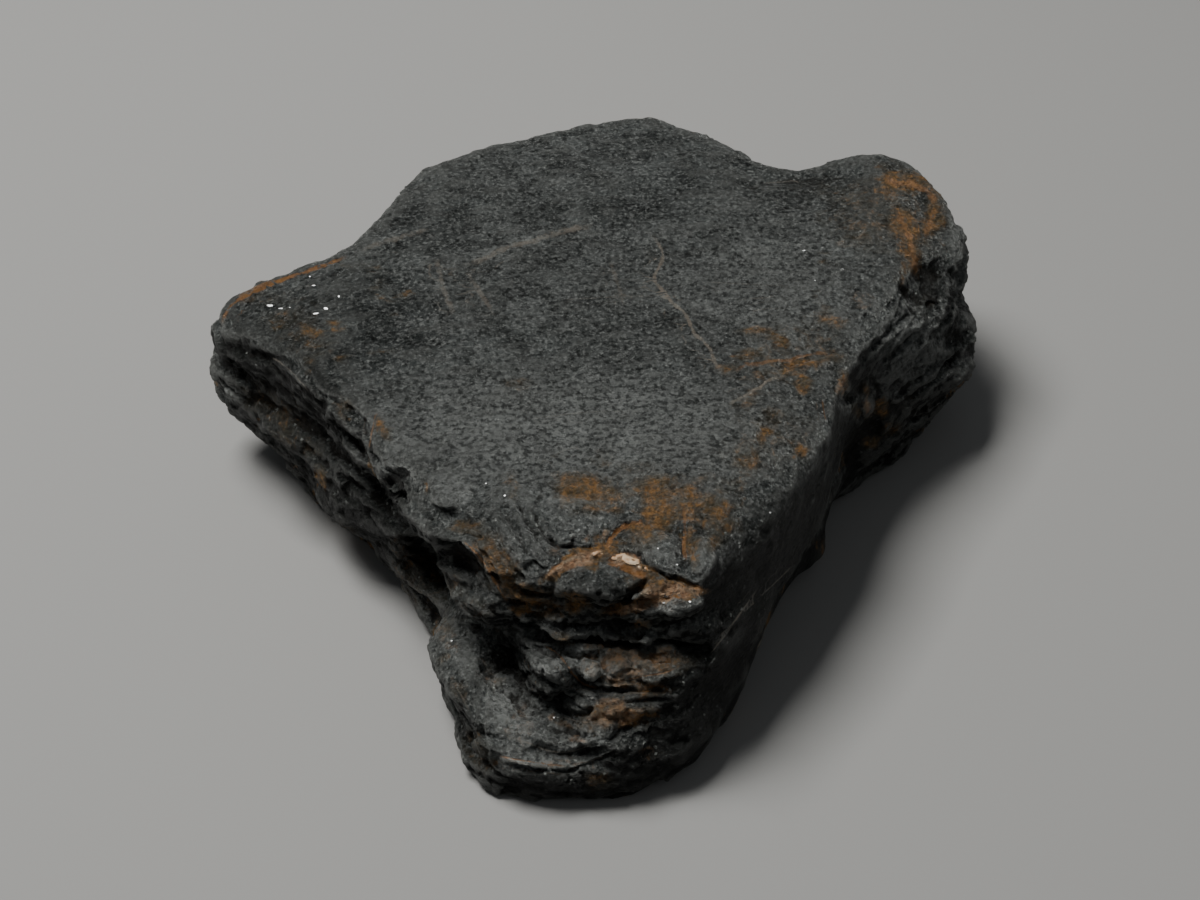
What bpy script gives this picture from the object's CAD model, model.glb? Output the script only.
"""A tantalite crystal on a pale floor: a dark slab of leaves with a broken, rusty nose and a ribbed lobe.

The stone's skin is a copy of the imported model, made dense and then carved: level leaves stand out and in
round its sides, a low grain crosses its top, and named cuts, plates and pits shape the nose, the left side
and the lobe. Rust, pale fill, scratches and hollows are painted on it as point attributes. Mica flakes and
pale grains are pieces of their own. Places on the side that the camera sees are given in its frame of 1200
by 900 steps.
"""

import math

import bpy
import numpy as np
from bpy.props import FloatProperty, FloatVectorProperty, IntProperty, PointerProperty
from mathutils import Matrix, Vector
from mathutils.bvhtree import BVHTree


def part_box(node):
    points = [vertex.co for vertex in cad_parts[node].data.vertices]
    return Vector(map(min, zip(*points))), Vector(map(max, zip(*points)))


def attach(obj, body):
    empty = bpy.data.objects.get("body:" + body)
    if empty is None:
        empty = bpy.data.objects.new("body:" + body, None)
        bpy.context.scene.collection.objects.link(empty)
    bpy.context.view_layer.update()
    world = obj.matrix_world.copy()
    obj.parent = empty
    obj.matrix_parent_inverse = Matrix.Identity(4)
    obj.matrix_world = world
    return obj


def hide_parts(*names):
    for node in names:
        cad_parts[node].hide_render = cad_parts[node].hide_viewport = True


bl_info = {
    "name": "Tantalite crystal",
    "version": (1, 0, 0),
    "blender": (4, 5, 0),
    "location": "3D View > Sidebar > Crystal",
    "description": "Builds a tantalite crystal, its flakes and grains, and a plain stage for it",
    "category": "Object",
}

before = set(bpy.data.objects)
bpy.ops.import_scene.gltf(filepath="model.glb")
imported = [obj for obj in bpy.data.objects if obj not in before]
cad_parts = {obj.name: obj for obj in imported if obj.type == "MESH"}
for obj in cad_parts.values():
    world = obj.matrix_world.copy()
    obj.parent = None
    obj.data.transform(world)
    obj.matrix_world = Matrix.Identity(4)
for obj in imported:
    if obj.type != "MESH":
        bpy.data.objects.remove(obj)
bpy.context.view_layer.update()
CORE = "tantalite_crystal"
BODY = "root"
MM = 0.001

# The camera: where it aims, how high it stands and how far back, and the frame it fills.
AIM = Vector((0.00007, -0.001995, 0.006335))
RISE = math.radians(42.0)
LENS = 70.0
SENSOR = 36.0
FRAME_WIDE = 1200.0
FRAME_HIGH = 900.0
STEPS_PER_MM = 15.2
FOCAL_STEPS = LENS / SENSOR * FRAME_WIDE
CAMERA_REACH = FOCAL_STEPS / STEPS_PER_MM * MM
CAMERA_BACK = Vector((0.0, -math.cos(RISE), math.sin(RISE)))
CAMERA_UP = Vector((0.0, math.sin(RISE), math.cos(RISE)))
CAMERA_PLACE = AIM + CAMERA_BACK * CAMERA_REACH

# The soft light that the stone is mostly lit by.
KEY_PLACE = (-0.12, 0.055, 0.32)

# Soft forms of the nose and the lobe: where each is, its half width and half height in frame steps, its
# turn in degrees, and how far it comes forward along the line of sight, in mm.
FORMS = (
    (616, 664, 78, 18, 0, 1.80), (548, 666, 30, 20, 40, 0.70), (540, 632, 24, 12, 0, 0.60),
    (616, 645, 78, 7, 2, 1.05), (632, 632, 56, 11, 4, -0.45),
    (556, 622, 34, 8, 20, -0.30), (660, 608, 46, 12, -12, 0.60), (598, 588, 48, 18, 4, 0.40),
    (706, 560, 14, 24, 0, 0.30), (664, 552, 28, 18, 20, 0.25), (574, 522, 32, 20, 0, 0.20),
    (520, 560, 34, 52, -30, 0.50), (560, 752, 74, 18, 4, 0.55), (506, 716, 26, 46, -22, 0.60),
    (600, 716, 40, 22, 0, 0.30), (458, 522, 30, 14, 10, -0.45), (448, 486, 26, 16, 0, 0.35),
    (440, 566, 44, 26, 20, -0.60), (508, 668, 24, 13, 40, -0.18), (670, 690, 40, 30, -40, 0.30),
    (933, 284, 26, 27, 30, -0.85), (884, 214, 40, 40, 0, 0.35), (948, 330, 20, 12, -40, -0.50),
    (392, 492, 22, 24, 0, -0.70), (250, 352, 22, 8, 15, -0.40), (352, 440, 30, 10, 45, -0.30),
    (346, 428, 34, 5, 45, 0.30), (360, 466, 30, 5, 40, 0.25),
)

# Cuts and lips along paths: reach to each side in frame steps, how far the left and the right side
# of the path move out in mm, then the path. Left is above a path that runs from left to right.
PATHS = (
    # under the top plate, down the left side
    (15, 0.04, -0.34, ((213, 338), (228, 342), (244, 350), (262, 353), (280, 356), (292, 359), (303, 366),
                       (310, 378), (316, 391), (330, 396), (345, 402), (358, 412), (366, 424), (369, 438),
                       (374, 454), (382, 465), (395, 471), (412, 472), (426, 469))),
    (4, 0.16, 0.16, ((270, 356), (284, 365), (294, 374), (303, 385), (310, 393))),
    (4, -0.12, -0.12, ((258, 352), (270, 366), (284, 378), (296, 392), (303, 404))),
    (5, 0.22, 0.22, ((323, 406), (338, 417), (350, 428), (362, 440), (371, 452))),
    (5, -0.35, -0.35, ((322, 418), (338, 430), (352, 441), (362, 452), (376, 464))),
    (5, 0.16, 0.16, ((330, 436), (345, 447), (358, 458), (372, 468))),
    (4, -0.22, -0.22, ((328, 446), (342, 458), (356, 470), (374, 480))),
    (4, 0.16, 0.16, ((336, 461), (348, 470), (360, 480), (374, 487))),
    (7, -0.32, -0.32, ((334, 472), (350, 484), (366, 492), (384, 500))),
    (4, -0.15, -0.15, ((228, 360), (244, 372), (262, 380), (280, 394))),
    (5, -0.18, -0.18, ((244, 392), (262, 399), (282, 410), (300, 424), (318, 440))),
    (4, -0.14, -0.14, ((286, 432), (304, 446), (322, 462), (338, 482))),
    (9, -0.30, -0.30, ((352, 520), (366, 512), (384, 516), (404, 528), (420, 536))),
    (6, -0.20, -0.20, ((372, 540), (392, 540), (412, 548), (430, 552))),
    (7, -0.25, -0.25, ((402, 566), (420, 562), (440, 556), (456, 556))),
    # the shoulder: its hollow, its streaks and its lower lip
    (16, 0.00, -0.16, ((428, 506), (446, 510), (462, 515), (476, 519), (486, 524))),
    (4, -0.25, -0.25, ((448, 536), (462, 533), (474, 534), (484, 540))),
    (3, -0.14, -0.14, ((446, 524), (460, 523), (474, 524))),
    (7, 0.20, -0.35, ((430, 536), (444, 541), (456, 542), (466, 545), (476, 556), (486, 574),
                      (494, 594))),
    (3, -0.10, -0.10, ((422, 478), (428, 470), (440, 466), (452, 466))),
    # the cheek's thin leaves
    (5, -0.34, -0.34, ((500, 500), (510, 520), (522, 542), (534, 562), (546, 576))),
    (5, -0.30, -0.30, ((516, 492), (524, 512), (534, 532), (546, 552), (562, 560))),
    (5, -0.32, -0.32, ((486, 514), (496, 536), (506, 556), (516, 574), (528, 586))),
    (5, -0.28, -0.28, ((470, 538), (482, 554), (492, 572), (502, 590))),
    (4, 0.16, 0.16, ((492, 508), (502, 528), (513, 548), (526, 568))),
    (4, 0.16, 0.16, ((508, 498), (517, 516), (529, 538), (541, 558))),
    (5, -0.30, -0.30, ((500, 584), (520, 590), (542, 594), (562, 602), (584, 610))),
    (5, -0.28, -0.28, ((504, 600), (524, 604), (546, 608), (566, 616))),
    (4, 0.14, 0.14, ((506, 592), (530, 597), (552, 601), (574, 608))),
    # the brow: the left plate's lower edge, the curved crack and the right plate's lower edge
    (8, 0.06, -0.44, ((536, 505), (539, 518), (543, 530), (555, 540), (571, 545), (586, 547),
                      (601, 545))),
    (5, -0.30, -0.30, ((648, 521), (634, 523), (622, 526), (611, 534), (605, 548))),
    (7, 0.05, -0.46, ((612, 551), (628, 550), (638, 553), (647, 562), (655, 569), (668, 573), (681, 577),
                      (692, 582), (706, 588))),
    (3, -0.16, -0.16, ((684, 528), (685, 545), (684, 560), (686, 575))),
    (3, -0.10, -0.10, ((700, 520), (704, 540), (706, 560))),
    # the wedge, the rusty strips and the right block
    (5, 0.14, 0.14, ((544, 580), (556, 570), (568, 563), (580, 558), (592, 555), (606, 554))),
    (5, -0.36, -0.36, ((652, 576), (640, 588), (628, 598), (616, 606), (604, 613))),
    (4, -0.20, -0.20, ((622, 604), (636, 603), (650, 599), (664, 594))),
    (4, -0.14, -0.14, ((606, 614), (623, 610), (648, 603), (675, 595), (704, 591))),
    # the long hollow beneath
    (9, 0.05, -0.16, ((504, 612), (522, 618), (544, 622), (562, 626), (584, 624), (604, 620), (640, 622),
                      (676, 624), (692, 626))),
    (4, -0.16, -0.16, ((508, 630), (526, 636), (546, 640), (560, 644))),
    # cracks round the small blocks
    (4, -0.30, -0.30, ((543, 645), (556, 652), (566, 663), (574, 676), (583, 684), (600, 689), (620, 690),
                       (644, 690), (668, 689))),
    (3, -0.22, -0.22, ((576, 656), (590, 656), (600, 652))),
    (3, -0.22, -0.22, ((604, 654), (602, 666), (606, 680))),
    (3, -0.20, -0.20, ((610, 676), (626, 671), (644, 672), (662, 668))),
    (3, -0.18, -0.18, ((626, 656), (632, 664), (630, 672))),
    (3, -0.20, -0.20, ((648, 658), (660, 662), (674, 662))),
    (3, 0.14, 0.14, ((586, 683), (602, 686), (622, 684), (642, 687))),
    (3, -0.30, -0.30, ((566, 690), (582, 696), (600, 701), (620, 702), (648, 700), (676, 700))),
    (4, -0.20, -0.20, ((552, 700), (560, 710), (572, 716), (586, 713), (598, 705))),
    (5, -0.36, -0.36, ((560, 726), (574, 734), (588, 735), (602, 732))),
    (5, -0.22, -0.22, ((532, 741), (546, 749), (564, 755), (580, 753), (594, 747), (606, 738))),
    (4, 0.20, 0.20, ((530, 733), (546, 741), (562, 747), (578, 745), (592, 740))),
    (4, -0.24, -0.24, ((600, 744), (614, 736), (626, 728), (640, 722))),
    (3, 0.14, 0.14, ((548, 738), (564, 742), (580, 745), (592, 741), (602, 735))),
    (3, -0.20, -0.20, ((566, 719), (580, 722), (596, 720), (610, 712))),
    (5, 0.12, -0.35, ((498, 760), (520, 766), (545, 770), (566, 770), (584, 766), (602, 756),
                      (622, 748))),
    # the toe's left edge
    (4, 0.14, -0.14, ((452, 690), (462, 704), (472, 722), (480, 742), (488, 764))),
    (7, 0.14, -0.26, ((490, 672), (486, 700), (484, 730), (486, 752), (494, 774))),
    (3, -0.14, -0.14, ((458, 688), (466, 700), (474, 716))),
    # the lobe: ribs down its side and the edge of its crown
    (6, -0.14, -0.14, ((904, 268), (903, 286), (894, 304), (880, 320), (864, 338), (846, 352))),
    (5, -0.20, -0.20, ((916, 306), (900, 322), (884, 338), (868, 354), (852, 366))),
    (5, 0.16, 0.16, ((930, 300), (912, 318), (893, 334), (876, 350), (862, 362))),
    (5, -0.22, -0.22, ((946, 312), (928, 326), (908, 342), (890, 358), (876, 372))),
    (5, 0.16, 0.16, ((956, 318), (938, 334), (918, 350), (902, 366))),
    (5, -0.22, -0.22, ((962, 356), (944, 362), (926, 374), (908, 388), (894, 400))),
    (5, 0.18, 0.18, ((966, 366), (948, 374), (930, 388), (914, 400), (900, 412))),
    (5, -0.26, -0.26, ((962, 392), (944, 400), (926, 410), (906, 424))),
    (4, -0.18, -0.18, ((948, 416), (930, 424), (912, 434), (896, 440))),
    (5, -0.30, -0.30, ((832, 364), (838, 374), (846, 390), (850, 408))),
    (5, -0.16, -0.16, ((868, 372), (876, 386), (880, 402), (876, 420))),
    # long low cracks over the top
    (3, -0.07, -0.07, ((728, 405), (745, 395), (760, 387), (778, 376), (800, 364), (828, 356))),
    (3, -0.05, -0.05, ((655, 240), (665, 255), (655, 275), (680, 300), (700, 330), (713, 344), (722, 360),
                       (735, 370))),
    (4, -0.12, -0.12, ((742, 188), (754, 184), (764, 183), (780, 182))),
)

# Raised plates: how far each stands out in mm, the width of its bevel in frame steps, how deep the moat
# round it is in mm, then its corners.
PLATES = (
    (0.26, 12, 0.06, ((540, 499), (560, 494), (588, 496), (604, 508), (606, 526), (600, 540), (580, 541),
                     (560, 538), (547, 526))),
    (0.30, 11, 0.05, ((614, 544), (620, 534), (634, 529), (660, 530), (682, 534), (682, 556), (680, 572),
                     (664, 567), (650, 562), (640, 551), (626, 545))),
    (0.34, 10, 0.05, ((556, 582), (570, 570), (590, 562), (610, 561), (630, 569), (648, 578), (640, 588),
                      (626, 598), (610, 608), (590, 606), (566, 600), (550, 592))),
    (0.30, 7, 0.05, ((610, 617), (630, 611), (652, 605), (680, 598), (704, 596), (706, 605), (696, 616),
                     (668, 622), (636, 624))),
    (0.20, 9, 0.08, ((694, 538), (706, 534), (716, 546), (719, 562), (712, 578), (700, 584), (692, 572),
                     (690, 554))),
    (0.30, 5, 0.08, ((566, 630), (580, 626), (592, 631), (588, 640), (572, 641))),
    (0.26, 5, 0.08, ((600, 634), (612, 630), (624, 636), (616, 645), (603, 644))),
    (0.28, 5, 0.08, ((636, 640), (648, 634), (662, 638), (658, 648), (642, 650))),
    (0.24, 5, 0.06, ((664, 626), (678, 622), (688, 628), (682, 638), (668, 637))),
    (0.30, 7, 0.10, ((564, 647), (576, 643), (590, 644), (598, 650), (590, 657), (576, 657))),
    (0.40, 7, 0.12, ((578, 662), (588, 657), (600, 660), (603, 670), (598, 680), (586, 680), (579, 672))),
    (0.26, 6, 0.08, ((606, 660), (624, 656), (630, 664), (626, 673), (610, 676))),
    (0.24, 6, 0.06, ((632, 664), (646, 660), (664, 664), (676, 668), (662, 675), (640, 676))),
    (0.28, 6, 0.08, ((652, 648), (664, 643), (678, 646), (680, 654), (668, 660), (656, 657))),
    (0.30, 8, 0.12, ((522, 648), (544, 652), (558, 661), (568, 673), (574, 684), (560, 687), (544, 680),
                     (530, 668))),
    (0.24, 7, 0.14, ((524, 682), (530, 673), (544, 682), (556, 688), (560, 696), (548, 700), (530, 694))),
    (0.22, 6, 0.10, ((564, 694), (576, 697), (590, 703), (586, 710), (572, 713), (563, 706))),
    (0.16, 5, 0.05, ((604, 706), (616, 703), (626, 706), (624, 716), (612, 720), (603, 714))),
    (0.14, 5, 0.05, ((628, 704), (640, 703), (648, 708), (644, 718), (632, 720), (627, 712))),
    (0.14, 4, 0.05, ((610, 722), (624, 720), (634, 723), (628, 730), (614, 729))),
    (0.20, 4, 0.03, ((640, 592), (646, 588), (654, 589), (659, 594), (653, 599), (643, 598))),
    (0.20, 5, 0.08, ((515, 613), (528, 612), (540, 618), (534, 625), (520, 623))),
    (0.20, 5, 0.08, ((542, 616), (556, 613), (566, 619), (560, 627), (546, 625))),
    (0.24, 5, 0.05, ((638, 618), (650, 616), (655, 624), (646, 630), (637, 626))),
    (0.16, 5, 0.05, ((572, 546), (582, 544), (592, 549), (588, 557), (576, 558))),
    (0.26, 8, 0.04, ((834, 374), (846, 373), (852, 386), (848, 398), (838, 395), (833, 386))),
    (0.20, 8, 0.03, ((862, 398), (874, 396), (876, 408), (868, 420), (861, 412))),
    (0.18, 7, 0.06, ((222, 390), (232, 388), (243, 396), (243, 404), (230, 404))),
)

# Pits: where each is, its half width and half height in frame steps, its turn in degrees and its depth
# in mm.
PITS = (
    (933, 286, 28, 30, 30, 0.42),
    (960, 340, 15, 8, -30, 0.35),
    (392, 490, 16, 20, 0, 0.50),
    (354, 442, 9, 5, 40, 0.30),
    (476, 627, 6, 7, 0, 0.35),
    (508, 664, 20, 11, 40, 0.20),
    (412, 562, 14, 9, 0, 0.35),
    (461, 556, 14, 8, 30, 0.30),
    (398, 503, 10, 8, 0, 0.30),
    (832, 366, 5, 6, 0, 0.35),
    (752, 187, 10, 4, 20, 0.15),
    (244, 350, 10, 8, 20, 0.20),
)

# Paler and darker stone: where each patch is, its half width and half height in frame steps, its turn in
# degrees and its strength.
PALER = (
    (593, 671, 11, 9, 0, 2.30), (578, 653, 15, 8, -8, 2.10), (624, 662, 18, 8, 0, 1.80),
    (663, 648, 14, 5, -5, 1.60),
    (616, 688, 30, 4, 4, 1.60), (548, 660, 20, 12, 35, 1.30), (592, 697, 12, 5, 20, 1.30),
    (672, 696, 18, 4, -10, 0.80), (590, 562, 28, 7, -14, 0.80), (668, 589, 30, 6, -6, 0.50),
    (620, 637, 74, 8, 3, 0.55), (552, 628, 30, 8, 8, 0.40),
    (620, 290, 230, 110, 0, 0.36), (560, 420, 200, 70, 0, 0.50), (450, 210, 200, 60, -15, 0.32),
    (530, 640, 28, 10, 20, 0.50), (560, 610, 20, 6, 0, 0.45), (960, 250, 8, 30, -10, 0.35),
    (912, 348, 44, 40, -42, 0.45), (508, 668, 22, 14, 40, 0.30),
    (624, 666, 60, 18, 0, 1.20), (554, 666, 24, 16, 40, 0.90), (512, 712, 26, 44, -20, 1.00),
    (458, 645, 16, 40, -14, 0.55), (575, 738, 46, 18, -8, 1.00), (545, 762, 50, 7, 4, 1.40),
    (570, 520, 30, 20, 0, 0.35), (655, 545, 30, 18, 10, 0.45),
    (676, 605, 30, 8, -10, 1.10), (520, 545, 24, 46, -30, 0.60), (455, 490, 34, 18, 0, 1.00),
    (480, 560, 20, 20, 0, 0.60), (505, 590, 26, 12, 10, 0.50), (575, 435, 230, 72, 0, 1.20),
    (706, 560, 16, 26, 0, 0.75), (745, 440, 60, 50, -45, 0.65), (770, 290, 110, 80, 0, 0.80),
    (870, 240, 50, 50, 0, 0.30), (420, 410, 60, 36, 40, 0.45), (233, 396, 12, 7, 20, 1.60),
    (344, 432, 30, 4, 44, 0.50), (450, 566, 14, 8, 20, 0.45), (610, 702, 44, 10, 0, 0.60),
    (636, 720, 30, 16, -30, 0.45), (500, 180, 90, 24, -14, 0.35), (440, 284, 4, 28, -16, 1.00),
    (520, 243, 62, 5, -20, 1.00), (390, 240, 44, 4, -20, 0.80), (490, 304, 4, 16, -30, 0.80),
    (616, 284, 4, 18, 24, 0.80), (300, 378, 24, 3, 42, 0.60), (540, 395, 12, 3, 0, 0.50),
    (690, 250, 80, 8, -4, 0.25), (600, 330, 120, 10, -6, 0.20), (845, 400, 7, 20, 0, 0.70),
    (868, 406, 8, 12, 0, 0.50), (960, 296, 8, 30, 0, 0.35), (905, 330, 26, 4, -42, 0.35),
    (925, 345, 30, 4, -42, 0.35), (935, 372, 24, 4, -40, 0.35), (730, 500, 20, 40, -20, 0.40),
)
DARKER = (
    (352, 440, 20, 18, 40, 0.45), (684, 678, 20, 14, 0, 0.50), (860, 372, 24, 6, -35, 0.40),
    (862, 424, 16, 8, -30, 0.40),
    (670, 710, 20, 8, 0, 0.60), (574, 669, 3, 12, -50, 0.60), (537, 684, 16, 9, 35, 0.60),
    (236, 348, 24, 7, 18, 0.90), (270, 360, 30, 9, 18, 0.90), (268, 372, 24, 10, 36, 0.80),
    (312, 394, 20, 9, 40, 0.70),
    (345, 410, 28, 8, 35, 0.70), (374, 448, 11, 22, -10, 0.70),
    (322, 380, 34, 7, 42, 0.70), (560, 785, 70, 13, 0, 1.00), (655, 758, 52, 30, -20, 0.90),
    (458, 515, 22, 7, 14, 0.35), (500, 562, 5, 40, -28, 0.25),
    (600, 786, 90, 18, 0, 1.00),
    (690, 700, 44, 90, 25, 0.92), (768, 570, 60, 96, 36, 0.95), (508, 668, 22, 14, 40, 0.20),
    (600, 585, 32, 14, 0, 0.50),
    (542, 684, 18, 12, 30, 0.20), (392, 494, 20, 22, 0, 0.90), (306, 430, 78, 38, 42, 0.90),
    (250, 366, 44, 16, 30, 0.90), (352, 506, 66, 34, 45, 0.92), (420, 560, 40, 20, 30, 0.70),
    (461, 556, 12, 7, 30, 0.60), (933, 288, 20, 20, 30, 0.60), (945, 400, 30, 40, 20, 0.25),
    (870, 440, 50, 24, -30, 0.60), (466, 728, 10, 44, -16, 0.60), (622, 612, 24, 4, -14, 0.50),
    (280, 330, 60, 24, 20, 0.25), (350, 330, 90, 40, 20, 0.25), (836, 430, 20, 44, -30, 0.30),
    (960, 340, 14, 30, 0, 0.50), (440, 215, 60, 16, -20, 0.40), (600, 210, 70, 16, 0, 0.25),
    (400, 300, 30, 20, 0, 0.30), (540, 340, 60, 14, 0, 0.25), (700, 330, 50, 16, 20, 0.25),
    (550, 405, 10, 3, 0, 0.60), (650, 562, 10, 4, 40, 0.60), (655, 700, 30, 5, 0, 0.50),
)

# Smoother stone: as above.
SMOOTH = (
    (572, 522, 36, 24, 0, 0.9), (655, 548, 30, 20, 10, 0.8), (508, 708, 30, 50, -22, 0.9),
    (600, 585, 44, 18, 0, 0.8),
    (676, 606, 30, 10, -10, 0.6), (706, 560, 15, 26, 0, 0.8), (455, 650, 20, 40, -14, 0.6),
    (600, 782, 90, 16, 0, 0.5),
    (550, 666, 22, 14, 40, 0.6), (620, 664, 50, 22, 0, 0.4),
)

# Rust: where each patch is, its half width and half height in frame steps, its turn in degrees and its
# strength.
RUST = (
    (523, 608, 11, 7, 0, 0.85), (573, 607, 13, 9, 0, 0.80), (548, 614, 18, 8, 0, 0.50),
    (600, 644, 30, 6, 4, 0.45),
    (664, 500, 34, 28, 0, 0.55), (598, 496, 48, 20, 0, 0.50), (712, 512, 30, 28, 0, 0.50),
    (642, 534, 28, 14, 0, 0.50),
    (878, 214, 60, 46, 0, 0.36), (790, 350, 60, 34, 0, 0.34), (770, 440, 50, 40, -20, 0.30),
    (300, 326, 50, 26, 30, 0.30),
    (615, 716, 40, 18, -8, 0.62), (636, 662, 54, 24, 0, 0.52), (280, 420, 60, 20, 42, 0.30),
    (420, 580, 40, 30, 30, 0.35),
    (582, 488, 30, 14, 0, 0.85), (612, 492, 22, 12, 20, 0.70), (655, 490, 20, 18, 0, 0.80),
    (664, 514, 22, 20, 20, 0.85), (640, 530, 18, 8, 0, 0.90), (690, 505, 9, 26, 0, 0.80),
    (716, 505, 20, 16, 30, 0.75), (728, 520, 16, 14, 30, 0.55), (712, 540, 10, 14, 0, 0.50),
    (694, 548, 8, 22, 0, 0.60), (600, 506, 18, 8, 0, 0.50), (620, 512, 12, 8, 0, 0.60),
    (600, 540, 8, 10, 0, 0.60), (524, 596, 22, 14, 10, 0.75), (500, 568, 20, 44, -32, 0.60),
    (540, 600, 26, 12, 10, 0.50), (575, 600, 18, 10, 20, 0.70), (516, 606, 8, 6, 0, 0.80),
    (668, 588, 34, 11, 6, 0.95), (625, 607, 26, 7, -12, 0.90), (646, 570, 14, 7, 30, 0.85),
    (590, 556, 34, 8, -16, 1.00), (560, 572, 20, 6, -25, 1.00), (690, 590, 18, 6, 10, 0.90),
    (560, 638, 12, 8, 0, 0.55), (640, 624, 10, 6, 0, 0.70), (612, 662, 22, 10, 0, 0.55),
    (660, 664, 18, 7, 10, 0.70), (664, 650, 14, 8, 0, 0.60), (620, 684, 24, 6, 0, 0.55),
    (655, 690, 22, 8, 0, 0.55), (606, 710, 26, 10, -10, 0.60), (628, 720, 14, 10, -20, 0.85),
    (648, 712, 12, 8, 0, 0.50), (560, 722, 16, 6, 30, 0.55), (650, 752, 18, 10, 0, 0.30),
    (600, 780, 16, 10, 0, 0.45), (478, 752, 12, 26, -20, 0.35), (492, 764, 12, 6, 0, 0.50),
    (460, 690, 8, 14, -30, 0.35), (444, 660, 7, 8, 0, 0.45), (446, 626, 16, 22, 0, 0.30),
    (500, 690, 8, 6, 0, 0.35), (466, 528, 22, 6, 0, 0.60), (484, 545, 10, 10, 0, 0.45),
    (510, 486, 10, 20, -20, 0.45), (426, 487, 4, 10, 0, 0.65), (378, 424, 5, 14, -15, 0.75),
    (330, 318, 6, 5, 0, 0.95), (314, 328, 12, 6, 0, 0.75), (332, 328, 6, 4, 0, 0.75),
    (315, 340, 12, 5, 0, 0.50), (278, 329, 6, 4, 0, 0.65), (343, 356, 10, 6, 20, 0.75),
    (404, 293, 5, 5, 0, 0.75), (400, 312, 6, 8, 0, 0.55), (370, 270, 10, 8, 30, 0.55),
    (352, 262, 14, 6, 0, 0.40), (380, 290, 12, 8, 20, 0.35), (378, 350, 22, 5, 0, 0.35),
    (250, 300, 14, 6, -20, 0.45), (308, 366, 6, 10, 0, 0.50), (320, 478, 6, 14, -20, 0.65),
    (318, 348, 18, 12, 0, 0.30), (345, 410, 10, 14, 0, 0.45), (350, 540, 12, 24, -30, 0.25),
    (440, 588, 28, 20, 0, 0.35), (470, 610, 30, 14, 0, 0.25), (402, 548, 30, 12, 20, 0.25),
    (777, 339, 14, 8, 0, 0.85), (754, 331, 12, 6, 0, 0.70), (745, 354, 10, 10, 0, 0.80),
    (729, 368, 10, 8, 0, 0.75), (806, 362, 30, 6, -12, 0.80), (802, 382, 8, 14, 0, 0.75),
    (770, 372, 26, 12, -20, 0.45), (761, 435, 8, 6, 0, 0.75), (799, 450, 8, 9, 0, 0.85),
    (751, 460, 14, 12, 0, 0.65), (834, 322, 14, 8, 20, 0.65), (818, 298, 8, 7, 0, 0.65),
    (826, 312, 10, 8, 0, 0.45), (770, 412, 26, 10, 0, 0.40), (750, 398, 16, 8, -20, 0.45),
    (834, 356, 16, 8, 0, 0.55), (826, 258, 6, 6, 0, 0.55), (800, 340, 40, 30, 0, 0.20),
    (893, 182, 16, 15, 0, 0.80), (914, 182, 28, 14, 10, 0.72), (936, 192, 14, 12, 40, 0.75),
    (905, 232, 17, 34, -10, 0.74), (912, 256, 12, 22, 0, 0.72), (932, 220, 14, 22, 15, 0.68),
    (866, 200, 26, 10, 0, 0.35), (852, 240, 22, 8, 0, 0.35), (870, 220, 24, 12, 0, 0.30),
    (902, 272, 6, 16, 0, 0.55), (880, 165, 16, 6, 0, 0.40), (940, 245, 14, 14, 0, 0.25),
    (882, 408, 8, 9, 0, 0.85), (872, 443, 9, 8, 0, 0.75), (890, 428, 14, 10, -30, 0.40),
    (866, 390, 5, 6, 0, 0.70), (856, 412, 6, 8, 0, 0.50), (840, 382, 9, 12, 0, 0.55),
    (823, 547, 7, 8, 0, 0.55), (930, 300, 18, 10, 0, 0.20), (905, 405, 20, 12, -30, 0.20),
    (516, 384, 13, 11, 0, 0.46), (640, 470, 26, 10, 0, 0.30), (604, 462, 20, 10, 0, 0.35),
    (738, 486, 10, 8, 0, 0.45), (700, 480, 10, 8, 0, 0.45), (674, 480, 12, 12, 0, 0.55),
)

# Pale fill, cream to pink: as for rust.
PALE = (
    (624, 559, 16, 6, 4, 1.00), (636, 566, 10, 5, 30, 0.75), (649, 594, 9, 6, 0, 1.20),
    (575, 562, 30, 6, -22, 1.00), (676, 590, 30, 7, 4, 0.80), (642, 606, 34, 4, -12, 0.85),
    (620, 611, 16, 3, -8, 0.60), (606, 533, 4, 8, 30, 0.50),
    (616, 716, 26, 9, -8, 0.62), (612, 704, 20, 7, 0, 0.50), (626, 664, 52, 16, 0, 0.34),
    (592, 671, 10, 9, 0, 0.32),
    (618, 682, 12, 4, 0, 0.55), (640, 668, 14, 5, 0, 0.30), (842, 386, 7, 10, 0, 0.60),
    (867, 406, 6, 12, 0, 0.60), (862, 299, 12, 10, 0, 0.35),
    (427, 488, 2, 9, 0, 0.40), (556, 551, 12, 6, 0, 0.25), (585, 538, 6, 4, 0, 0.40),
    (670, 604, 26, 5, -5, 0.25), (578, 740, 10, 4, 20, 0.45), (520, 728, 22, 30, -20, 0.18),
    (486, 672, 10, 22, -30, 0.22), (452, 640, 10, 14, 0, 0.30), (295, 465, 4, 3, 0, 0.55),
    (550, 718, 6, 4, 0, 0.50), (560, 762, 36, 5, 4, 0.30),
)

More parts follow.
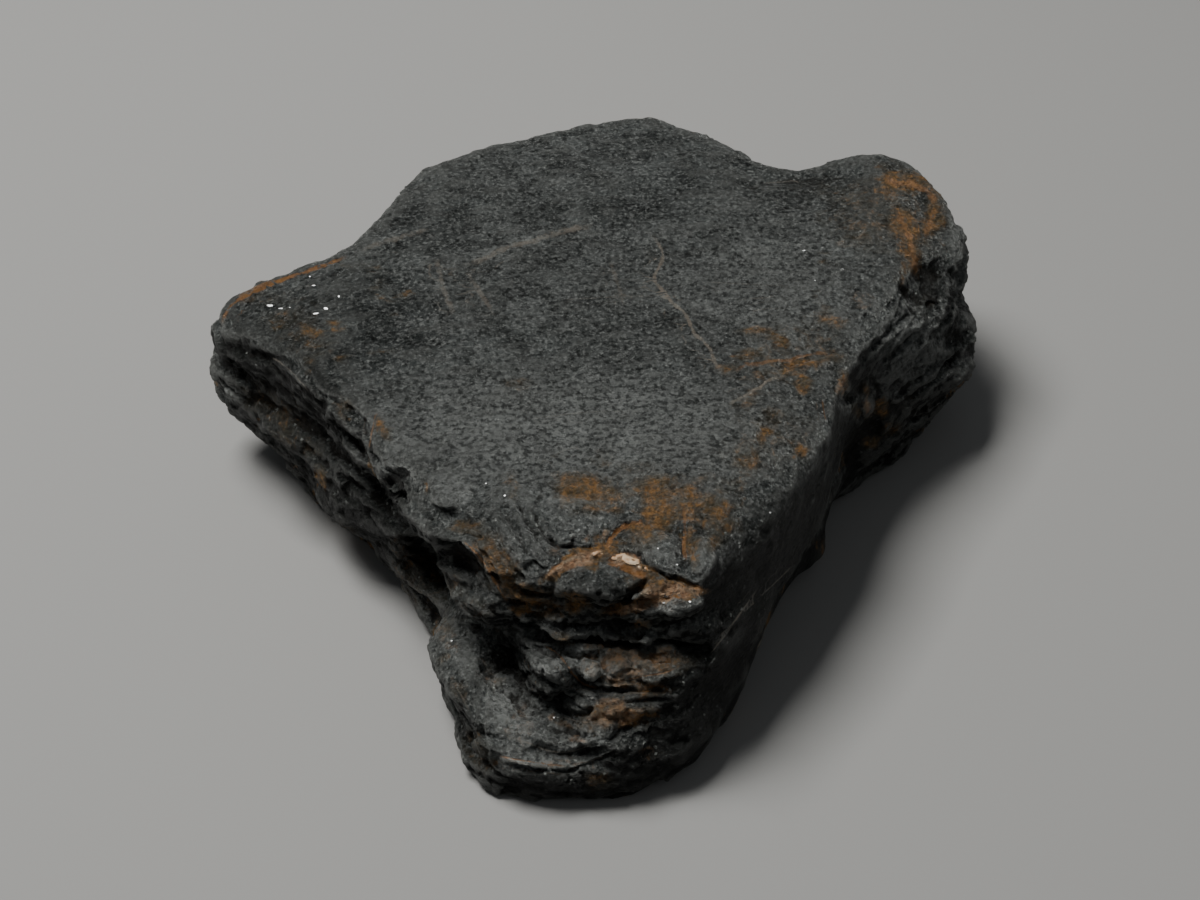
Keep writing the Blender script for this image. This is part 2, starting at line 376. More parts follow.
# Thin pale lines: half width in mm, strength, and the path.
SCRATCHES = (
    (0.12, 1.00, ((650, 234), (658, 242), (664, 254), (661, 266), (653, 275), (656, 285), (666, 292),
                  (671, 303), (683, 311), (690, 323), (694, 335), (707, 343), (713, 355), (715, 366),
                  (727, 377))),
    (0.18, 0.66, ((436, 258), (440, 276), (445, 294), (454, 314))),
    (0.06, 0.50, ((512, 737), (530, 744), (550, 752), (572, 752), (594, 744))),
    (0.06, 0.50, ((500, 758), (528, 765), (558, 768), (588, 762), (608, 754))),
    (0.05, 0.45, ((560, 716), (580, 722), (600, 722), (618, 730))),
    (0.05, 0.45, ((566, 686), (584, 690), (602, 694), (626, 694), (650, 692))),
    (0.20, 0.70, ((462, 266), (488, 257), (510, 246), (538, 239), (566, 230), (594, 226))),
    (0.15, 0.55, ((466, 270), (480, 292), (494, 314))),
    (0.11, 1.00, ((728, 405), (737, 399), (744, 398), (752, 390), (760, 388), (768, 380), (779, 377))),
    (0.05, 0.45, ((784, 370), (800, 364), (828, 356))),
    (0.05, 0.45, ((764, 183), (780, 182), (799, 181))),
    (0.05, 0.50, ((758, 589), (738, 616), (722, 640), (708, 656))),
    (0.05, 0.45, ((772, 612), (764, 634), (756, 652))),
    (0.05, 0.45, ((794, 564), (770, 588), (744, 612), (716, 640))),
    (0.05, 0.45, ((270, 356), (284, 365), (294, 374), (303, 385), (310, 393))),
    (0.16, 0.50, ((360, 250), (392, 240), (430, 228))),
    (0.14, 0.45, ((610, 262), (618, 284), (624, 306))),
    (0.05, 0.35, ((736, 300), (760, 298), (776, 296))),
    (0.05, 0.35, ((752, 311), (768, 308), (780, 309))),
    (0.04, 0.30, ((700, 282), (740, 284), (790, 286))),
    (0.04, 0.30, ((560, 300), (620, 296), (680, 296))),
    (0.04, 0.25, ((520, 420), (580, 412), (640, 410))),
    (0.04, 0.30, ((540, 462), (560, 452), (580, 446))),
    (0.05, 0.40, ((456, 686), (464, 700), (470, 712))),
    (0.04, 0.35, ((472, 732), (478, 748), (486, 772))),
)

# Thin rusty lines: as for scratches.
RUST_LINES = (
    (0.13, 1.00, ((222, 326), (225, 314), (231, 304), (242, 298), (256, 291), (270, 285), (284, 279),
                  (296, 275), (308, 271), (322, 266), (336, 261), (348, 256))),
    (0.07, 0.80, ((240, 294), (256, 287), (272, 280))),
    (0.28, 1.00, ((544, 578), (556, 570), (568, 563), (580, 558), (592, 555), (606, 554))),
    (0.26, 0.90, ((606, 560), (620, 566), (634, 571), (648, 576))),
    (0.26, 1.00, ((646, 596), (660, 590), (676, 588), (690, 589), (706, 592))),
    (0.18, 1.00, ((606, 614), (623, 610), (648, 603), (675, 596), (690, 593))),
    (0.22, 0.65, ((884, 176), (894, 184), (906, 182), (918, 186), (930, 194), (938, 206))),
    (0.24, 0.65, ((898, 212), (902, 224), (910, 236), (912, 250), (915, 264), (914, 276))),
    (0.18, 0.55, ((936, 208), (930, 222), (926, 236))),
    (0.12, 0.50, ((736, 372), (746, 362), (758, 366), (770, 360), (784, 362), (800, 356), (818, 352),
                  (832, 356))),
    (0.09, 0.75, ((462, 540), (476, 552), (488, 568), (498, 588), (508, 602))),
    (0.18, 0.95, ((644, 521), (632, 523), (620, 529), (611, 538), (605, 549))),
    (0.14, 0.60, ((684, 506), (685, 528), (684, 545), (685, 562))),
    (0.07, 0.60, ((543, 645), (556, 652), (566, 663), (574, 676), (583, 684), (600, 689))),
    (0.06, 0.50, ((626, 680), (644, 676), (662, 674), (676, 668))),
    (0.07, 0.60, ((498, 756), (520, 760), (545, 764), (566, 766))),
    (0.06, 0.50, ((376, 412), (372, 430), (369, 448))),
    (0.05, 0.55, ((822, 400), (824, 412), (826, 420))),
)

# Broken facets: their size in mm and how far they stand in and out, in mm.
RIM_CHIP = ((2.6, 2.6, 2.6), 0.22)
SIDE_CHIP = ((3.2, 3.2, 1.5), 0.34)
SIDE_CRUMB = ((1.4, 1.4, 0.8), 0.16)
NOSE_CHIP = ((1.6, 1.6, 0.9), 0.16)
NOSE_CRUMB = ((0.75, 0.75, 0.45), 0.13)

# The level leaves of the sides: their thickness and how far they stand in and out, in mm.
THICK_LEAF = (1.35, 0.22)
THIN_LEAF = (0.55, 0.08)

# The height of the low steps on the top, in mm.
TOP_STEP = 0.13

# The part of the nose that is broken up, and the part whose mesh stays dense: as for rust.
BROKEN_NOSE = ((575, 655, 120, 130, 0, 1.0),)
DENSE_NOSE = ((600, 630, 130, 150, 0, 1.0),)

# The stone's colours, by their names in its settings.
COLOURS = (
    "stone_dark", "stone_light", "stone_streak", "stone_fleck", "stone_worn", "stone_side", "glint",
    "hollow_dust", "rust_dark", "rust_bright", "fill_pink", "fill_cream", "scratch",
)

# Mica flakes: where each is, its half length and half width in frame steps and its turn in degrees.
FLAKES = (
    (270, 306, 3.6, 1.1, -15), (281, 309, 3.0, 0.6, 0), (326, 309, 2.6, 1.2, -25),
    (316, 314, 3.2, 0.8, 5),
    (339, 297, 0.9, 0.9, 0), (314, 286, 1.8, 0.6, 0), (310, 277, 0.9, 0.6, 0), (290, 308, 0.7, 0.5, 0),
    (505, 496, 1.0, 0.8, 0), (486, 484, 0.9, 0.7, 0), (677, 565, 0.9, 0.7, 0), (664, 603, 1.2, 0.7, 0),
    (690, 602, 1.1, 0.7, 0), (452, 641, 1.0, 0.8, 0), (658, 549, 0.8, 0.6, 0), (770, 513, 1.0, 0.6, 0),
    (804, 251, 1.4, 0.6, 5), (815, 281, 0.7, 0.6, 0), (554, 718, 1.0, 0.7, 0), (582, 676, 1.0, 0.7, 0),
)

# Pale grains wedged in the rusty strips: where each is, its half length and half width in frame steps and
# its turn in degrees.
GRAINS = (
    (617, 556, 9.0, 4.4, -8), (631, 560, 9.0, 4.6, -24), (643, 568, 5.0, 3.0, -35),
    (597, 554, 6.0, 2.0, 10),
)

# From a cell of a grid to itself and to each of its 26 neighbours.
CELL_STEPS = tuple(np.array([step % 3 - 1, step // 3 % 3 - 1, step // 9 - 1]) for step in range(27))


def smoothstep(low, high, values):
    """0 where values are at low or beyond, 1 at high, and smooth between them."""
    share = np.clip((values - low) / (high - low), 0.0, 1.0)
    return share * share * (3.0 - 2.0 * share)


class Cloud:
    """Smooth noise from about -1 to 1 that is the same each time for one seed."""

    def __init__(self, seed):
        draw = np.random.default_rng(seed)
        self.order = draw.permutation(256)
        leans = draw.normal(size=(256, 3))
        self.leans = leans / np.linalg.norm(leans, axis=1)[:, None]

    def picks(self, cells):
        """A scattered but fixed number from 0 to 255 for each cell of the grid."""
        cells = cells & 255
        pick = self.order[(self.order[cells[:, 0]] + cells[:, 1]) & 255]
        return self.order[(pick + cells[:, 2]) & 255]

    def at(self, points):
        """One size of the noise, its bumps about one unit across."""
        base = np.floor(points).astype(np.int64)
        part = points - base
        ease = part**3 * (part * (part * 6.0 - 15.0) + 10.0)
        total = np.zeros(len(points))
        for corner in range(8):
            step = np.array([(corner >> axis) & 1 for axis in range(3)])
            lean = self.leans[self.picks(base + step)]
            weight = np.prod(np.where(step, ease, 1.0 - ease), axis=1)
            total += weight * np.einsum("ij,ij->i", lean, part - step)
        return total * 1.7

    def layered(self, points, layers):
        """Several sizes of the noise added up, each half as wide and half as strong as the last."""
        total = np.zeros(len(points))
        reach = 0.0
        for layer in range(layers):
            total += self.at(points * 2.0**layer + 17.3 * layer) * 0.5**layer
            reach += 0.5**layer
        return total / reach

    def cells(self, points):
        """The distances to the nearest and to the second nearest of one scattered point in each cell."""
        base = np.floor(points).astype(np.int64)
        near = np.full(len(points), 9.0)
        second = np.full(len(points), 9.0)
        for step in CELL_STEPS:
            seed_point = base + step + 0.5 + 0.45 * self.leans[self.picks(base + step)]
            gap = np.linalg.norm(points - seed_point, axis=1)
            second = np.minimum(second, np.maximum(near, gap))
            near = np.minimum(near, gap)
        return near, second


def chips(places, kind, seed):
    """Broken facets of one kind, in mm: each cell of its size has its own height and lean."""
    cloud = Cloud(seed)
    size, reach = kind
    points = places / np.array(size)
    points = points + 0.25 * np.stack([cloud.at(points * 1.3 + 31.7 * axis) for axis in range(3)], axis=1)
    base = np.floor(points).astype(np.int64)
    near = np.full(len(points), 9.0)
    height = np.zeros(len(points))
    for step in CELL_STEPS:
        pick = cloud.picks(base + step)
        gap = points - (base + step + 0.5 + 0.45 * cloud.leans[pick])
        distance = np.linalg.norm(gap, axis=1)
        nearer = distance < near
        near = np.where(nearer, distance, near)
        lean = cloud.leans[(pick + 71) & 255]
        own = 0.6 * cloud.leans[(pick + 13) & 255, 0] + 0.8 * np.einsum("ij,ij->i", lean, gap)
        height = np.where(nearer, own, height)
    return height * reach


def select_only(piece):
    """Make one piece the selected and active one."""
    bpy.ops.object.select_all(action="DESELECT")
    piece.select_set(True)
    bpy.context.view_layer.objects.active = piece


def apply_modifier(piece, kind, **settings):
    """Add a modifier with these settings and apply it."""
    select_only(piece)
    modifier = piece.modifiers.new(kind.lower(), kind)
    for name, value in settings.items():
        setattr(modifier, name, value)
    bpy.ops.object.modifier_apply(modifier=modifier.name)


def places_of(piece):
    """A piece's vertex places in mm, one row each."""
    places = np.empty(len(piece.data.vertices) * 3)
    piece.data.vertices.foreach_get("co", places)
    return places.reshape(-1, 3) / MM


def set_places(piece, places):
    """Move a piece's vertices to places in mm."""
    piece.data.vertices.foreach_set("co", (places * MM).ravel())
    piece.data.update()


def normals_of(piece):
    """A piece's vertex normals, one row each."""
    normals = np.empty(len(piece.data.vertices) * 3)
    piece.data.vertex_normals.foreach_get("vector", normals)
    return normals.reshape(-1, 3)


def neighbour_mean(piece, values, rounds):
    """Values averaged with those of the joined vertices, over and over."""
    mesh = piece.data
    edges = np.empty(len(mesh.edges) * 2, np.int64)
    mesh.edges.foreach_get("vertices", edges)
    start, end = edges.reshape(-1, 2).T
    count = len(mesh.vertices)
    share = 1.0 / (np.bincount(start, minlength=count) + np.bincount(end, minlength=count) + 1.0)
    result = values.astype(float).reshape(count, -1)
    for _ in range(rounds):
        columns = []
        for column in result.T:
            gathered = np.bincount(start, column[end], count) + np.bincount(end, column[start], count)
            columns.append((column + gathered) * share)
        result = np.stack(columns, axis=1)
    return result.reshape(values.shape)


def frame_spots(places):
    """Where places in mm lie in the camera's frame, in steps across and down, and how far away, in mm."""
    gap = places - np.array(CAMERA_PLACE) / MM
    depth = -gap @ np.array(CAMERA_BACK)
    across = FRAME_WIDE / 2 + FOCAL_STEPS * gap[:, 0] / depth
    down = FRAME_HIGH / 2 - FOCAL_STEPS * (gap @ np.array(CAMERA_UP)) / depth
    return np.stack((across, down), axis=1), depth


def lines_of_sight(places):
    """Unit vectors from places in mm towards the camera, one row each."""
    towards = np.array(CAMERA_PLACE) / MM - places
    return towards / np.linalg.norm(towards, axis=1)[:, None]


def seen_share(places, normals):
    """How surely the camera sees each vertex: 1 in plain view, 0 behind other stone or turned away."""
    spots, depth = frame_spots(places)
    cell = 4.0
    column = np.clip((spots[:, 0] / cell).astype(int), 0, int(FRAME_WIDE / cell) - 1)
    row = np.clip((spots[:, 1] / cell).astype(int), 0, int(FRAME_HIGH / cell) - 1)
    nearest = np.full((int(FRAME_HIGH / cell), int(FRAME_WIDE / cell)), 1e6)
    np.minimum.at(nearest, (row, column), depth)
    behind = depth - nearest[row, column]
    facing = np.einsum("ij,ij->i", lines_of_sight(places), normals)
    return smoothstep(1.8, 0.9, behind) * smoothstep(-0.1, 0.15, facing)


def rounded_path(path, rounds=2):
    """A path with its corners cut, so that it runs in smooth bends."""
    points = np.array(path, float)
    for _ in range(rounds):
        early = points[:-1] * 0.75 + points[1:] * 0.25
        late = points[:-1] * 0.25 + points[1:] * 0.75
        middle = np.stack((early, late), axis=1).reshape(-1, 2)
        points = np.concatenate((points[:1], middle, points[-1:]))
    return points


def measure_path(spots, path):
    """For each spot: its distance from a path, positive on its left, and its share of the way along."""
    best = np.full(len(spots), 1e6)
    signed = np.full(len(spots), 1e6)
    way = np.zeros(len(spots))
    runs = path[1:] - path[:-1]
    lengths = np.linalg.norm(runs, axis=1)
    done = 0.0
    for start, run, length in zip(path[:-1], runs, lengths):
        along = np.clip(((spots - start) @ run) / length**2, 0.0, 1.0)
        gap = spots - (start + along[:, None] * run)
        distance = np.linalg.norm(gap, axis=1)
        nearer = distance < best
        left = np.where(run[0] * gap[:, 1] - run[1] * gap[:, 0] < 0.0, 1.0, -1.0)
        best = np.where(nearer, distance, best)
        signed = np.where(nearer, distance * left, signed)
        way = np.where(nearer, (done + along * length) / lengths.sum(), way)
        done += length
    return signed, way


def near_path(spots, path, reach):
    """Which spots lie in a path's box, widened by reach."""
    low = path.min(axis=0) - reach
    high = path.max(axis=0) + reach
    return np.nonzero(((spots > low) & (spots < high)).all(axis=1))[0]


def end_fade(way, share=0.18):
    """1 along the middle of a path, falling to 0 at both ends."""
    return smoothstep(0.0, share, way) * smoothstep(1.0, 1.0 - share, way)


def wobble_of(places, seeds, size):
    """A smooth unevenness for spots, across and down, from about -1 to 1."""
    return np.stack([Cloud(seed).layered(places / size, 2) for seed in seeds], axis=1)


def patch_values(spots, patches):
    """The strongest of several soft oval patches at each spot."""
    strongest = np.zeros(len(spots))
    for across, down, wide, high, turn, strength in patches:
        gap = spots - (across, down)
        angle = math.radians(turn)
        along = gap[:, 0] * math.cos(angle) + gap[:, 1] * math.sin(angle)
        over = gap[:, 1] * math.cos(angle) - gap[:, 0] * math.sin(angle)
        distance = np.hypot(along / wide, over / high)
        strongest = np.maximum(strongest, strength * smoothstep(1.5, 0.35, distance))
    return strongest


def leaf_reach(places, thickness, wander, seed):
    """How far out or in each level leaf of the rock stands, from about -1 to 1."""
    cloud = Cloud(seed)
    level = places[:, 2] + wander * cloud.layered(places / (6.0, 6.0, 9.0), 2)
    level += 0.3 * thickness * np.sin(level * 1.9 / thickness + seed)
    leaf = level / thickness
    index = np.floor(leaf)
    part = leaf - index
    flat = places[:, :2] / 2.6
    here = cloud.at(np.column_stack((flat, index * 7.31)))
    beneath = cloud.at(np.column_stack((flat, (index - 1.0) * 7.31)))
    return beneath + (here - beneath) * smoothstep(0.0, 0.24, part)


def smooth_facet_share(places, normals):
    """1 on the plain facet to the right of the nose, 0 elsewhere."""
    aside = normals[:, 0] * 0.87 + normals[:, 1] * -0.49
    return smoothstep(0.72, 0.92, aside) * smoothstep(3.0, -4.0, places[:, 1])


def round_rim(piece, rounds):
    """Wear the rim of the top face round, most at the front right, and break it up a little.

    The lobe and the rest of the rim are kept out as far as the wear took them in.
    """
    places = places_of(piece)
    worn = neighbour_mean(piece, places, rounds)
    front_right = smoothstep(4.0, 12.0, places[:, 0]) * smoothstep(14.0, 6.0, places[:, 1])
    rolled = smoothstep(4.5, 8.5, places[:, 0]) * smoothstep(17.0, 13.0, places[:, 0])
    rolled *= smoothstep(6.0, 0.0, places[:, 1])
    further = neighbour_mean(piece, worn, rounds)
    widest = neighbour_mean(piece, further, 3 * rounds)
    worn += (further - worn) * front_right[:, None]
    worn += (widest - worn) * rolled[:, None]
    share = smoothstep(8.5 - 2.0 * front_right, 11.5 - 1.5 * front_right, places[:, 2])
    share *= 0.65 + 0.35 * front_right
    gap = worn - places
    rim = smoothstep(0.05, 0.45, np.linalg.norm(gap, axis=1)) * share
    broken = chips(places, RIM_CHIP, 71)
    broken += 0.12 * Cloud(72).layered(places / 1.5, 2)
    lobe = smoothstep(9.0, 15.0, places[:, 0]) * smoothstep(10.0, 15.0, places[:, 1])
    kept_out = 0.25 * (1.0 - front_right) + 0.60 * lobe
    places += gap * share[:, None] + normals_of(piece) * ((broken + kept_out) * rim)[:, None]
    set_places(piece, places)


def shape_forms(piece):
    """Bring the soft forms of the nose and the lobe forward or back along the line of sight."""
    places = places_of(piece)
    normals = normals_of(piece)
    spots, _ = frame_spots(places)
    spots = spots + wobble_of(places, (61, 62), 2.0) * 4.0
    move = np.zeros(len(places))
    for across, down, wide, high, turn, forward in FORMS:
        move += forward * patch_values(spots, ((across, down, wide, high, turn, 1.0),))
    places += lines_of_sight(places) * (move * seen_share(places, normals))[:, None]
    set_places(piece, places)


def carve_leaves(piece):
    """Set the level leaves of the sides out and in, and lay a low stepped grain over the top."""
    places = places_of(piece)
    normals = normals_of(piece)
    side = smoothstep(0.86, 0.50, np.abs(normals[:, 2]))
    plain = smooth_facet_share(places, normals)
    outward = normals * (1.0, 1.0, 0.35)
    outward /= np.maximum(np.linalg.norm(outward, axis=1), 1e-6)[:, None]
    broken = 0.5 + 0.5 * smoothstep(-0.35, 0.35, Cloud(5).layered(places / 3.5, 2))
    thickness, reach = THICK_LEAF
    move = reach * leaf_reach(places, thickness, 0.9, 3) * broken
    thickness, reach = THIN_LEAF
    move += reach * leaf_reach(places, thickness, 0.8, 4)
    move += 0.10 * Cloud(6).layered(places / (1.6, 1.6, 1.0), 3)
    rows = np.nonzero(side > 0.01)[0]
    move[rows] += chips(places[rows], SIDE_CHIP, 7)
    move[rows] += chips(places[rows], SIDE_CRUMB, 13)
    places += outward * (move * side * (1.0 - 0.8 * plain))[:, None]
    set_places(piece, places)


def carve_top(piece):
    """Lay a low stepped grain over the top, long from left to right, and a fine unevenness everywhere."""
    places = places_of(piece)
    normals = normals_of(piece)
    top = smoothstep(0.55, 0.85, normals[:, 2])
    grain = places @ np.array(((0.99, 0.12, 0.0), (-0.12, 0.99, 0.0), (0.0, 0.0, 1.0))).T
    swell = Cloud(8).layered(grain / (5.0, 1.6, 3.0), 3)
    fine = Cloud(9).layered(grain / (1.6, 0.55, 1.0), 2)
    step = places[:, 2] + 0.22 * swell
    leaf = step / TOP_STEP
    stepped = (np.floor(leaf) + smoothstep(0.3, 0.7, leaf - np.floor(leaf)) - leaf) * TOP_STEP
    move = top * (0.08 * swell + 0.035 * fine + 0.6 * stepped)
    near, second = Cloud(10).cells(places / 0.9)
    seams = smoothstep(0.0, 0.25, second - near) - 1.0
    side = 1.0 - top
    plain = smooth_facet_share(places, normals)
    move += side * (1.0 - plain) * (0.05 * Cloud(11).layered(places / 0.5, 2) + 0.05 * seams)
    move += plain * 0.02 * Cloud(12).layered(places / (1.2, 1.2, 0.6), 3)
    places += normals * move[:, None]
    set_places(piece, places)


def carve_features(piece):
    """Cut the named cuts, raise the plates and sink the pits, on the side that the camera sees."""
    places = places_of(piece)
    normals = normals_of(piece)
    spots, _ = frame_spots(places)
    seen = seen_share(places, normals)
    spots = spots + wobble_of(places, (21, 22), 0.9) * 3.0
    widths = 1.0 + 0.55 * Cloud(23).layered(places / 1.3, 2)
    depths = 1.0 + 0.6 * Cloud(24).layered(places / 1.0, 2)
    nose = patch_values(spots, BROKEN_NOSE) * seen
    rows = np.nonzero(nose > 0.01)[0]
    broken = chips(places[rows], NOSE_CHIP, 25) + chips(places[rows], NOSE_CRUMB, 26)
    move = np.zeros(len(places))
    move[rows] = nose[rows] * broken
    for reach, left_move, right_move, path in PATHS:
        path = rounded_path(path)
        rows = near_path(spots, path, reach + 2.0)
        signed, way = measure_path(spots[rows], path)
        fall = smoothstep(1.0, 0.0, np.abs(signed) / (reach * widths[rows]))
        fall *= end_fade(way) * depths[rows]
        edge = max(2.0, 0.3 * reach)
        sides = right_move + (left_move - right_move) * smoothstep(-edge, edge, signed)
        move[rows] += fall * sides
    for rise, bevel, moat, corners in PLATES:
        outline = rounded_path(tuple(corners) + corners[:1], 1)
        rows = near_path(spots, outline, 6.0)
        signed, _ = measure_path(spots[rows], outline)
        inside = inside_outline(spots[rows], outline)
        depth_in = np.where(inside, np.abs(signed), -np.abs(signed))
        rise_share = smoothstep(-1.0, bevel, depth_in)
        moat_share = smoothstep(-5.0, -1.5, depth_in) * smoothstep(1.5, -1.5, depth_in)
        move[rows] += rise * rise_share - moat * moat_share
    for across, down, wide, high, turn, depth in PITS:
        move -= depth * patch_values(spots, ((across, down, wide, high, turn, 1.0),))
    places += normals * (move * seen)[:, None]
    set_places(piece, places)


def inside_outline(spots, outline):
    """Which spots lie inside a closed outline."""
    inside = np.zeros(len(spots), bool)
    for start, end in zip(outline[:-1], outline[1:]):
        if start[1] == end[1]:
            continue
        crosses = (start[1] > spots[:, 1]) != (end[1] > spots[:, 1])
        edge_at = start[0] + (spots[:, 1] - start[1]) / (end[1] - start[1]) * (end[0] - start[0])
        inside ^= crosses & (spots[:, 0] < edge_at)
    return inside


def keep_in_box(piece):
    """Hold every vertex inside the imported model's own box."""
    low, high = (np.array(corner, float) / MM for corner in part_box(CORE))
    places = np.clip(places_of(piece), low, high)
    set_places(piece, places)


def thin(piece, triangles):
    """Bring a piece down to a number of triangles, and leave the nose as fine as it is."""
    select_only(piece)
    apply_modifier(piece, "TRIANGULATE")
    places = places_of(piece)
    spots, _ = frame_spots(places)
    seen = seen_share(places, normals_of(piece))
    nose = patch_values(spots, DENSE_NOSE) * seen > 0.45
    group = piece.vertex_groups.new(name="may_be_thinned")
    group.add([int(i) for i in np.nonzero(~nose)[0]], 1.0, "REPLACE")
    apply_modifier(
        piece,
        "DECIMATE",
        ratio=triangles / len(piece.data.polygons),
        vertex_group=group.name,
        use_collapse_triangulate=True,
    )
    piece.vertex_groups.clear()


def store(piece, name, values):
    """Keep one value for each vertex in an attribute that the material reads."""
    attribute = piece.data.attributes.new(name, "FLOAT", "POINT")
    attribute.data.foreach_set("value", np.asarray(values, np.float32))


def paint_lines(spots, seen, lines):
    """For each vertex: its signed distance in half widths from the nearest line, and how that shows."""
    side = np.full(len(spots), 9.0)
    show = np.zeros(len(spots))
    for half_width, strength, path in lines:
        path = rounded_path(path)
        reach = 14.0
        rows = near_path(spots, path, reach)
        signed, way = measure_path(spots[rows], path)
        nearer = np.abs(signed) < np.abs(side[rows]) * half_width * STEPS_PER_MM
        nearer &= np.abs(signed) < reach
        picked = rows[nearer]
        side[picked] = signed[nearer] / (half_width * STEPS_PER_MM)
        fade = smoothstep(reach, reach * 0.6, np.abs(signed[nearer]))
        show[picked] = strength * end_fade(way[nearer], 0.12) * fade * seen[picked]
    return np.clip(side, -9.0, 9.0), show


def paint(piece):
    """Store shade, rust, pale fill, line, hollow, facet and steepness values on the skin."""
    places = places_of(piece)
    normals = normals_of(piece)
    spots, _ = frame_spots(places)
    seen = seen_share(places, normals)
    wobble = wobble_of(places, (31, 32), 0.8)
    uneven = spots + wobble * 5.0
    adrift = wobble_of(places, (36, 37), 2.4)
    rusty = uneven + adrift * 14.0 * smoothstep(0.75, 0.92, normals[:, 2])[:, None]
    hidden = 1.0 - seen
    drift = Cloud(33).layered(places / (7.0, 7.0, 2.5), 3)
    streak = Cloud(34).layered(places / (3.0, 3.0, 0.5), 2)
    side = smoothstep(0.85, 0.5, np.abs(normals[:, 2]))
    stray = smoothstep(0.05, 0.55, drift + 0.5 * streak * side) * 0.75
    foot = smoothstep(5.0, 0.0, places[:, 2]) * 0.2
    store(piece, "shade", (patch_values(uneven, PALER) - patch_values(uneven, DARKER)) * seen)
    store(piece, "rust", np.maximum(patch_values(rusty, RUST) * seen, (stray + foot * side) * hidden))
    crumbs = smoothstep(0.42, 0.7, Cloud(35).layered(places / 2.2, 3)) * hidden * side * 0.5
    store(piece, "pale", np.maximum(patch_values(uneven, PALE) * seen, crumbs))
    for name, lines in (("scratch", SCRATCHES), ("rust_line", RUST_LINES)):
        line_side, show = paint_lines(spots + wobble * 0.8, seen, lines)
        store(piece, name + "_side", line_side)
        store(piece, name + "_show", show)
    plain = smooth_facet_share(places, normals)
    eased = 1.0 - 0.70 * np.maximum(hidden, plain)
    for name, rounds, scale in (("hollow_small", 6, 0.06), ("hollow_wide", 60, 0.35)):
        gap = neighbour_mean(piece, places, rounds) - places
        sunk = np.einsum("ij,ij->i", gap, normals) * eased
        store(piece, name, np.clip(sunk / scale, -1.0, 1.0))
    smooth = patch_values(uneven, SMOOTH) * seen
    store(piece, "facet", np.maximum(plain, smooth))
    facing_up = neighbour_mean(piece, normals[:, 2], 2)
    store(piece, "side", smoothstep(0.66, 0.20, facing_up) * (1.0 - 0.15 * hidden))


def feed(tree, socket, value):
    """Link a socket's value to an input, or set the input to a plain value."""
    if isinstance(value, bpy.types.NodeSocket):
        tree.links.new(value, socket)
    else:
        socket.default_value = value


def node(tree, kind, **values):
    """A new shader node with its inputs fed: by name with _ for a blank, or i and a number."""
    made = tree.nodes.new(kind)
    for name, value in values.items():
        numbered = name[0] == "i" and name[1:].isdigit()
        feed(tree, made.inputs[int(name[1:]) if numbered else name.replace("_", " ")], value)
    return made


def math_node(tree, operation, first, second=None, third=None, clamp=False):
    """The result of one sum on values or sockets."""
    made = tree.nodes.new("ShaderNodeMath")
    made.operation = operation
    made.use_clamp = clamp
    for socket, value in zip(made.inputs, (first, second, third)):
        if value is not None:
            feed(tree, socket, value)
    return made.outputs[0]


def vector_math(tree, operation, **values):
    """The result of one sum on vectors; each input is i and its number."""
    made = tree.nodes.new("ShaderNodeVectorMath")
    made.operation = operation
    for name, value in values.items():
        feed(tree, made.inputs[int(name[1:])], value)
    return made.outputs[0]


def blend_colour(tree, share, first, second):
    """Two colours mixed by a share."""
    made = tree.nodes.new("ShaderNodeMix")
    made.data_type = "RGBA"
    made.clamp_factor = True
    for socket, value in ((made.inputs[0], share), (made.inputs[6], first), (made.inputs[7], second)):
        feed(tree, socket, value)
    return made.outputs[2]


def ranged(tree, value, low, high, out_low=0.0, out_high=1.0):
    """A value brought from one range to another, smooth at both ends and held between them."""
    made = tree.nodes.new("ShaderNodeMapRange")
    made.interpolation_type = "SMOOTHSTEP"
    tree.links.new(value, made.inputs["Value"])
    for name, number in (("From Min", low), ("From Max", high), ("To Min", out_low), ("To Max", out_high)):
        feed(tree, made.inputs[name], number)
    return made.outputs["Result"]


def new_group(name, inputs, outputs):
    """A shader node group with named sockets; returns it, its inputs and its output node."""
    group = bpy.data.node_groups.new(name, "ShaderNodeTree")
    for label, kind, value in inputs:
        socket = group.interface.new_socket(name=label, in_out="INPUT", socket_type=kind)
        if value is not None:
            socket.default_value = value
    for label, kind in outputs:
        group.interface.new_socket(name=label, in_out="OUTPUT", socket_type=kind)
    given = group.nodes.new("NodeGroupInput").outputs
    result = group.nodes.new("NodeGroupOutput").inputs
    return group, given, result


